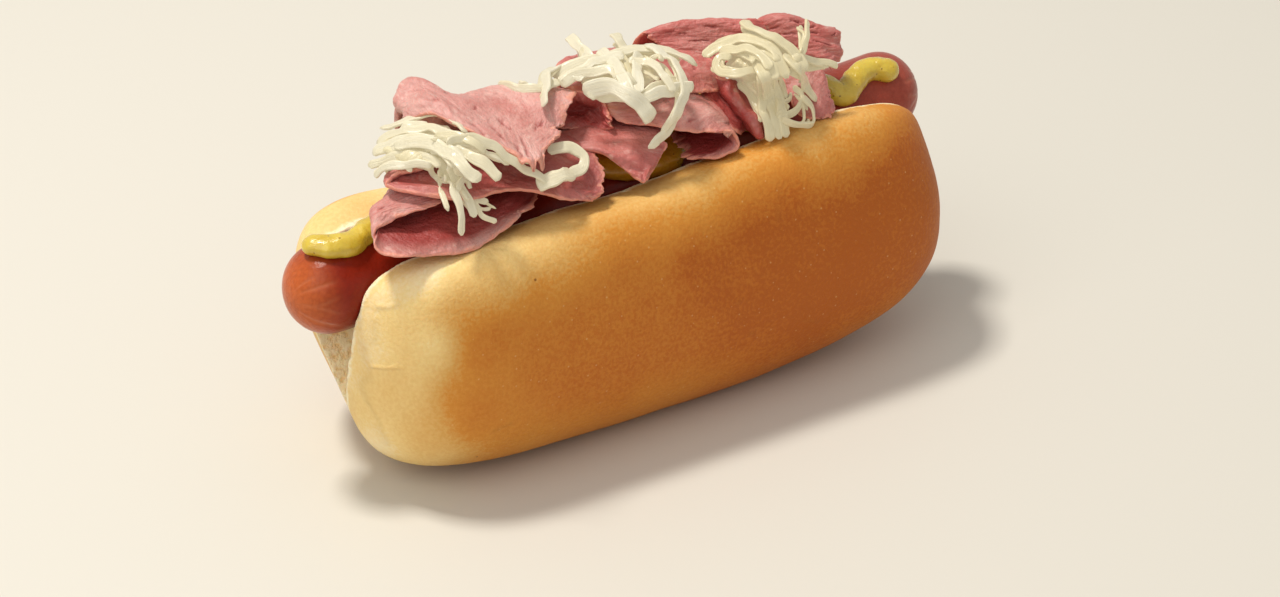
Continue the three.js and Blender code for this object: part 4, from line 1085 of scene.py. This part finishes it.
def tears_over(flat, size, lie, placed, count, seed):
    """Depth of the tears in the meat, 0 to 1: each is a bell curve across a short line. Some have their own
    places, the others lie at random, roughly along the fibres."""
    random = np.random.default_rng(seed)
    lines = [(np.array(start) * size / 2, np.array(end) * size / 2, wide) for start, end, wide in placed]
    for _ in range(count):
        middle = random.uniform(-0.42, 0.42, 2) * size
        turn = lie + random.normal(0, 0.35)
        half = random.uniform(0.6, 2.0) * np.array([math.cos(turn), math.sin(turn)])
        lines.append((middle - half, middle + half, random.uniform(0.2, 0.4)))
    wavy = flat + 0.18 * np.stack([ripples(flat, 1.5, seed + 1), ripples(flat, 1.5, seed + 2)], -1)
    depth = np.zeros(flat.shape[:-1])
    for start, end, wide in lines:
        away = segment_distance(wavy[..., 0], wavy[..., 1], start, end)
        depth = np.maximum(depth, np.exp(-(away / wide) ** 2))
    return depth


def pulled(name, middle, flat, size):
    """The middle surface with some places of its edge pulled out or in, each by a bell curve of the
    distance."""
    for place, wide, move in PULLS.get(name, ()):
        away = np.linalg.norm(flat - np.array(place) * size / 2, axis=-1)
        middle = middle + np.exp(-(away / wide) ** 2)[..., None] * np.array(move, float)
    return middle


def sheet_faces(rows, columns):
    """Faces of both sides of a sheet that meet in one rim, and which grid points are on that rim. The upper
    side's points come first, then those of the lower side that aren't on the rim."""
    on_rim = np.ones((rows, columns), bool)
    on_rim[1:-1, 1:-1] = False
    below = np.arange(rows * columns).reshape(rows, columns)
    below[~on_rim] = rows * columns + np.arange((~on_rim).sum())
    upper = grid_faces(rows, columns)
    return np.concatenate([upper, below.ravel()[upper][:, ::-1]]), on_rim


def make_slice(name, rails, key, material):
    """Two faces either side of the middle surface, drawn together to one rounded edge, with long fibres in
    relief and a few tears. The grid lies closer towards the edge."""
    rows, columns = SLICE["rows"], SLICE["columns"]
    i, j = np.linspace(-1, 1, columns), np.linspace(-1, 1, rows)
    b, a = np.meshgrid(1.5 * j - 0.5 * j**3, 1.5 * i - 0.5 * i**3, indexing="ij")
    reach = np.maximum(np.abs(a), np.abs(b))
    middle = slice_surface(rails, key, a, b)
    size = np.array([np.linalg.norm(np.diff(line, axis=0), axis=1).sum()
                     for line in (middle[rows // 2], middle[:, columns // 2])])
    flat = np.stack([a, b], -1) * size / 2
    middle = pulled(name, middle, flat, size)
    normals = grid_normals(middle)

    lie = np.radians(25 + 37 * key)
    along = flat @ [math.cos(lie), math.sin(lie)] + 1.2 * ripples(flat, 22, 70 + key)
    over = flat @ [-math.sin(lie), math.cos(lie)] + 1.2 * ripples(flat, 22, 90 + key)
    fibre = ripples(np.stack([along / 9, over], -1), 1.5, 110 + key, 30)
    fibre = SLICE["fibre"] * (fibre + 0.8 * ripples(np.stack([along / 5, over], -1), 0.8, 310 + key, 30))
    placed, count = TEARS.get(name, OTHER_TEARS)
    torn = tears_over(flat, size, lie, placed, count, 330 + 3 * key) * smooth((1 - reach) / 0.06)

    ruffle = SLICE["ruffle"] * (np.sin(7 * a + 5 * b + key) + np.sin(4 * a - 9 * b + 2 * key))
    ruffle = ruffle + 0.3 * ripples(flat, 11, 350 + key) + 0.07 * ripples(flat, 4, 370 + key)
    inward = np.clip((1 - reach) * size.min() / 2 / SLICE["edge"], 0, 1)
    thinner = mix((0.5, 1.0), smooth((1 - reach) / 0.3))
    half = SLICE["thickness"] / 2 * np.sqrt(np.clip(1 - (1 - inward) ** 2, 0, 1)) * thinner
    rough = 0.07 * ripples(middle, 1.8, 130 + key) * smooth((reach - 0.86) / 0.1)
    middle = middle + normals * (ruffle + rough)[..., None]
    top = middle + normals * (half + fibre * smooth(inward) - SLICE["tear"] * torn)[..., None]
    bottom = middle - normals * (half + fibre[:, ::-1] * smooth(inward))[..., None]
    faces, on_rim = sheet_faces(rows, columns)
    top[on_rim] = middle[on_rim]

    def both(above, under):
        """Values of the upper side's points, then of the lower side's without the rim."""
        return np.concatenate([above.ravel(), under[~on_rim]])

    rim = smooth((reach - 0.93 - 0.03 * ripples(flat, 4, 150 + key)) / 0.06)
    # Paleness here is partly painted light.
    pale, deep, inside = SLICE_LOOK[name]
    pale = np.clip(pale + 0.14 * ripples(middle, 14, 170 + key), 0, 1)
    # Painted shade: deeper red in the tears on the upper side, and on the underside, which shows inside a
    # fold, except near its first edge.
    above = np.clip(deep + 0.7 * torn, 0, 1)
    under = deep + (inside - deep) * smooth((b + 1) / 0.35)
    values = {"rim": both(rim, rim), "depth": both(above, under), "pale": both(pale, pale)}
    uv = np.stack([both(along, along), both(over, over)], -1) * MM
    points = np.concatenate([top.reshape(-1, 3), bottom[~on_rim]])
    piece = make_piece(name + "_slice", points, faces, material, values, uv)
    turn_outward(piece)
    stand_for(piece, name)


# ---------------------------------------------------------------- the sauerkraut
def rounded_square(wave):
    """A sine or cosine pushed out towards a square wave, by the power 0.45 of its size."""
    return np.sign(wave) * np.abs(wave) ** 0.45


def shred_points(path, inner, width, thickness, columns, twist, seed):
    """Rings of a flat shred along a path of points: its section is a rectangle with rounded corners, whose
    flat side faces away from a point inside the tuft. It wavers a little, and its ends are cut nearly
    square."""
    rows = len(path)
    s = np.linspace(0, 1, rows)
    path = path + 0.22 * np.stack([ripples(path, 5, seed + k, 8) for k in range(3)], -1)
    ahead = unit(np.gradient(path, axis=0))
    side = unit(np.cross(ahead, path - inner))
    out = unit(np.cross(side, ahead))
    roll = twist * (s - 0.5)[:, None] + 0.2 * np.sin(4 * s + seed)[:, None]
    side, out = side * np.cos(roll) + out * np.sin(roll), out * np.cos(roll) - side * np.sin(roll)
    angle = 2 * PI * (np.arange(columns) + 0.5) / columns
    end = np.sqrt(np.clip(1 - np.abs(2 * s - 1) ** 30, 0.1, 1))
    swell = 1 + 0.08 * np.sin(9 * s + width * 5) + 0.07 * np.sin(17 * s + seed)
    wide = (width / 2 * end * swell)[:, None] * rounded_square(np.sin(angle))
    high = (thickness / 2 * end)[:, None] * rounded_square(np.cos(angle))
    return path[:, None] + side[:, None] * wide[..., None] + out[:, None] * high[..., None]


def under_shred(path, inner, upwards, random):
    """A path moved down into the tuft and to one side, turned and bowed a little, all by random amounts."""
    sideways = unit(np.cross(path[-1] - path[0], upwards))
    sunk = random.uniform(1.0, 2.6)
    share = np.linspace(0, 1, len(path))[:, None]
    shift = sideways * random.normal(0, 1.2) - unit(path - inner) * sunk
    shift = shift + random.normal(0, 0.9, 3) * np.sin(PI * share)
    return path + shift + random.normal(0, 1.2, 3) * [1, 1, 0.4] * (2 * share - 1)


def tuft_mound(centre, radii, seed):
    """Rings of the uneven mound in the middle of a tuft: a ball, stretched by its radii."""
    v, u = np.meshgrid(np.linspace(0.02, 0.98, 16), np.arange(32) / 32, indexing="ij")
    turn = 2 * PI * u
    waist = np.sin(PI * v)
    ball = np.stack([waist * np.cos(turn), waist * np.sin(turn), -np.cos(PI * v)], -1)
    return centre + ball * radii * (0.92 + 0.08 * ripples(ball, 0.5, seed))[..., None]


def make_tuft(name, tuft, material, seed):
    """A core mound with the long shreds on it, and under and beside each of them some narrower ones that
    follow it, moved a little at random, so that the tuft is full. Loose shreds have none under them."""
    random = np.random.default_rng(seed)
    centre, radii, warm = np.array(tuft["centre"], float), np.array(tuft["radii"], float), tuft["warm"]
    inner = centre + [2, 6, -7]
    all_points, all_faces, tones, uvs = [], [], [], []

    def add(rings, tone, uv):
        """One more closed part, with its tone and its places on the flat."""
        rows, columns = rings.shape[:2]
        all_faces.extend(capped_faces(rows, columns, sum(map(len, all_points))))
        all_points.append(rings.reshape(-1, 3))
        tones.append(np.full(rows * columns, tone))
        uvs.append(uv.reshape(-1, 2) * MM)

    def lay(path, width, thickness, columns, tone, twist, away_from=inner):
        """One shred along a path. On the flat it is as long as it is, at a random place across."""
        waver = 400 + int(random.integers(500))
        rings = shred_points(path, away_from, width, thickness, columns, twist, waver)
        length = np.linalg.norm(np.diff(path, axis=0), axis=1).sum()
        down = np.linspace(0, length, len(path))
        s, t = np.meshgrid(down, np.linspace(0, width * 2, columns), indexing="ij")
        add(rings, min(1.0, warm + (1 - warm) * tone), np.stack([s, t + random.uniform(0, 50)], -1))

    for width, points in tuft["shreds"]:
        thickness = SHRED["thickness"] * (1 + 0.6 * max(0, width - 4))
        lay(even(points, np.linspace(0, 1, 30)), SHRED["slim"] * width, thickness, 12, random.uniform(0, 0.5),
            random.uniform(-0.5, 0.5))
        for _ in range(tuft["under"]):
            first = random.uniform(0.0, 0.25)
            last = random.uniform(0.6, 0.95)
            path = under_shred(even(points, np.linspace(first, last, 18)), inner, centre - inner, random)
            lay(path, width * random.uniform(0.45, 0.75), SHRED["thickness"], 8, random.uniform(0.1, 1.0),
                random.uniform(-0.8, 0.8))
    for width, points in tuft.get("loose", ()):
        path = even(points, np.linspace(0, 1, 30))
        lay(path, width, SHRED["loose_thickness"], 12, 0.3, 0.3, path.mean(0) + [6, 9, -12])
    mound = tuft_mound(centre, radii, seed)
    add(mound, 0.9, mound[..., :2])
    piece = make_piece(name + "_shreds", np.concatenate(all_points), all_faces, material,
                       {"tone": np.concatenate(tones)}, np.concatenate(uvs))
    stand_for(piece, name)


# ---------------------------------------------------------------- the scene
CAMERA = dict(place=(-0.39525, -0.607, 0.433), down=29.6, turn=-33.5, lens=96.2)
FLOOR_HALF = 3.0


def add_camera():
    """The camera, looking down on the hot dog from the front left."""
    data = bpy.data.cameras.new("camera")
    data.lens = CAMERA["lens"]
    data.sensor_width = 36
    camera = show("camera", data)
    camera.location = CAMERA["place"]
    camera.rotation_euler = (math.radians(90 - CAMERA["down"]), 0, math.radians(CAMERA["turn"]))
    bpy.context.scene.camera = camera


def add_light(name, place, size, power, warmth):
    """A square area light that looks at the middle of the hot dog."""
    data = bpy.data.lights.new(name, "AREA")
    data.size = size
    data.energy = power
    data.color = warmth
    light = show(name, data)
    light.location = place
    x, y, z = np.array([0.0, 0.0, 0.04]) - np.array(place)
    light.rotation_euler = (math.atan2(math.hypot(x, y), -z), 0, math.atan2(x, -y) + PI)


def add_floor():
    """A wide plain floor."""
    corners = FLOOR_HALF / MM * np.array([[-1, -1, 0], [1, -1, 0], [1, 1, 0], [-1, 1, 0]])
    material = new_material("Floor", Base_Color=colour("D6D2C8"), Roughness=0.6)[0]
    floor = make_piece("floor", corners, [[0, 1, 2, 3]], material, smooth_shading=False)


def add_surroundings():
    """Soft warm light from all round, and colours as they are."""
    world = bpy.data.worlds.new("studio")
    world.use_nodes = True
    background = world.node_tree.nodes["Background"].inputs
    background["Color"].default_value = (1.0, 0.975, 0.93, 1)
    background["Strength"].default_value = 0.50
    bpy.context.scene.world = world
    bpy.context.scene.view_settings.view_transform = "Standard"
    bpy.context.scene.view_settings.look = "None"


add_camera()
add_floor()
add_surroundings()
add_light("window", (-0.27, 0.31, 1.26), 0.20, 13.0, (1.0, 0.96, 0.89))
add_light("left", (-0.95, -0.45, 0.90), 1.1, 5.0, (1.0, 0.98, 0.95))

make_roll(crust_and_crumb())
make_frank(sausage_skin())
make_mustard(mustard_paste())
beef = corned_beef()
for key, (name, rails) in enumerate(SLICES.items()):
    make_slice(name, rails, key, beef)
cabbage = pickled_cabbage()
for seed, (name, tuft) in enumerate(TUFTS.items()):
    make_tuft(name, tuft, cabbage, seed + 1)
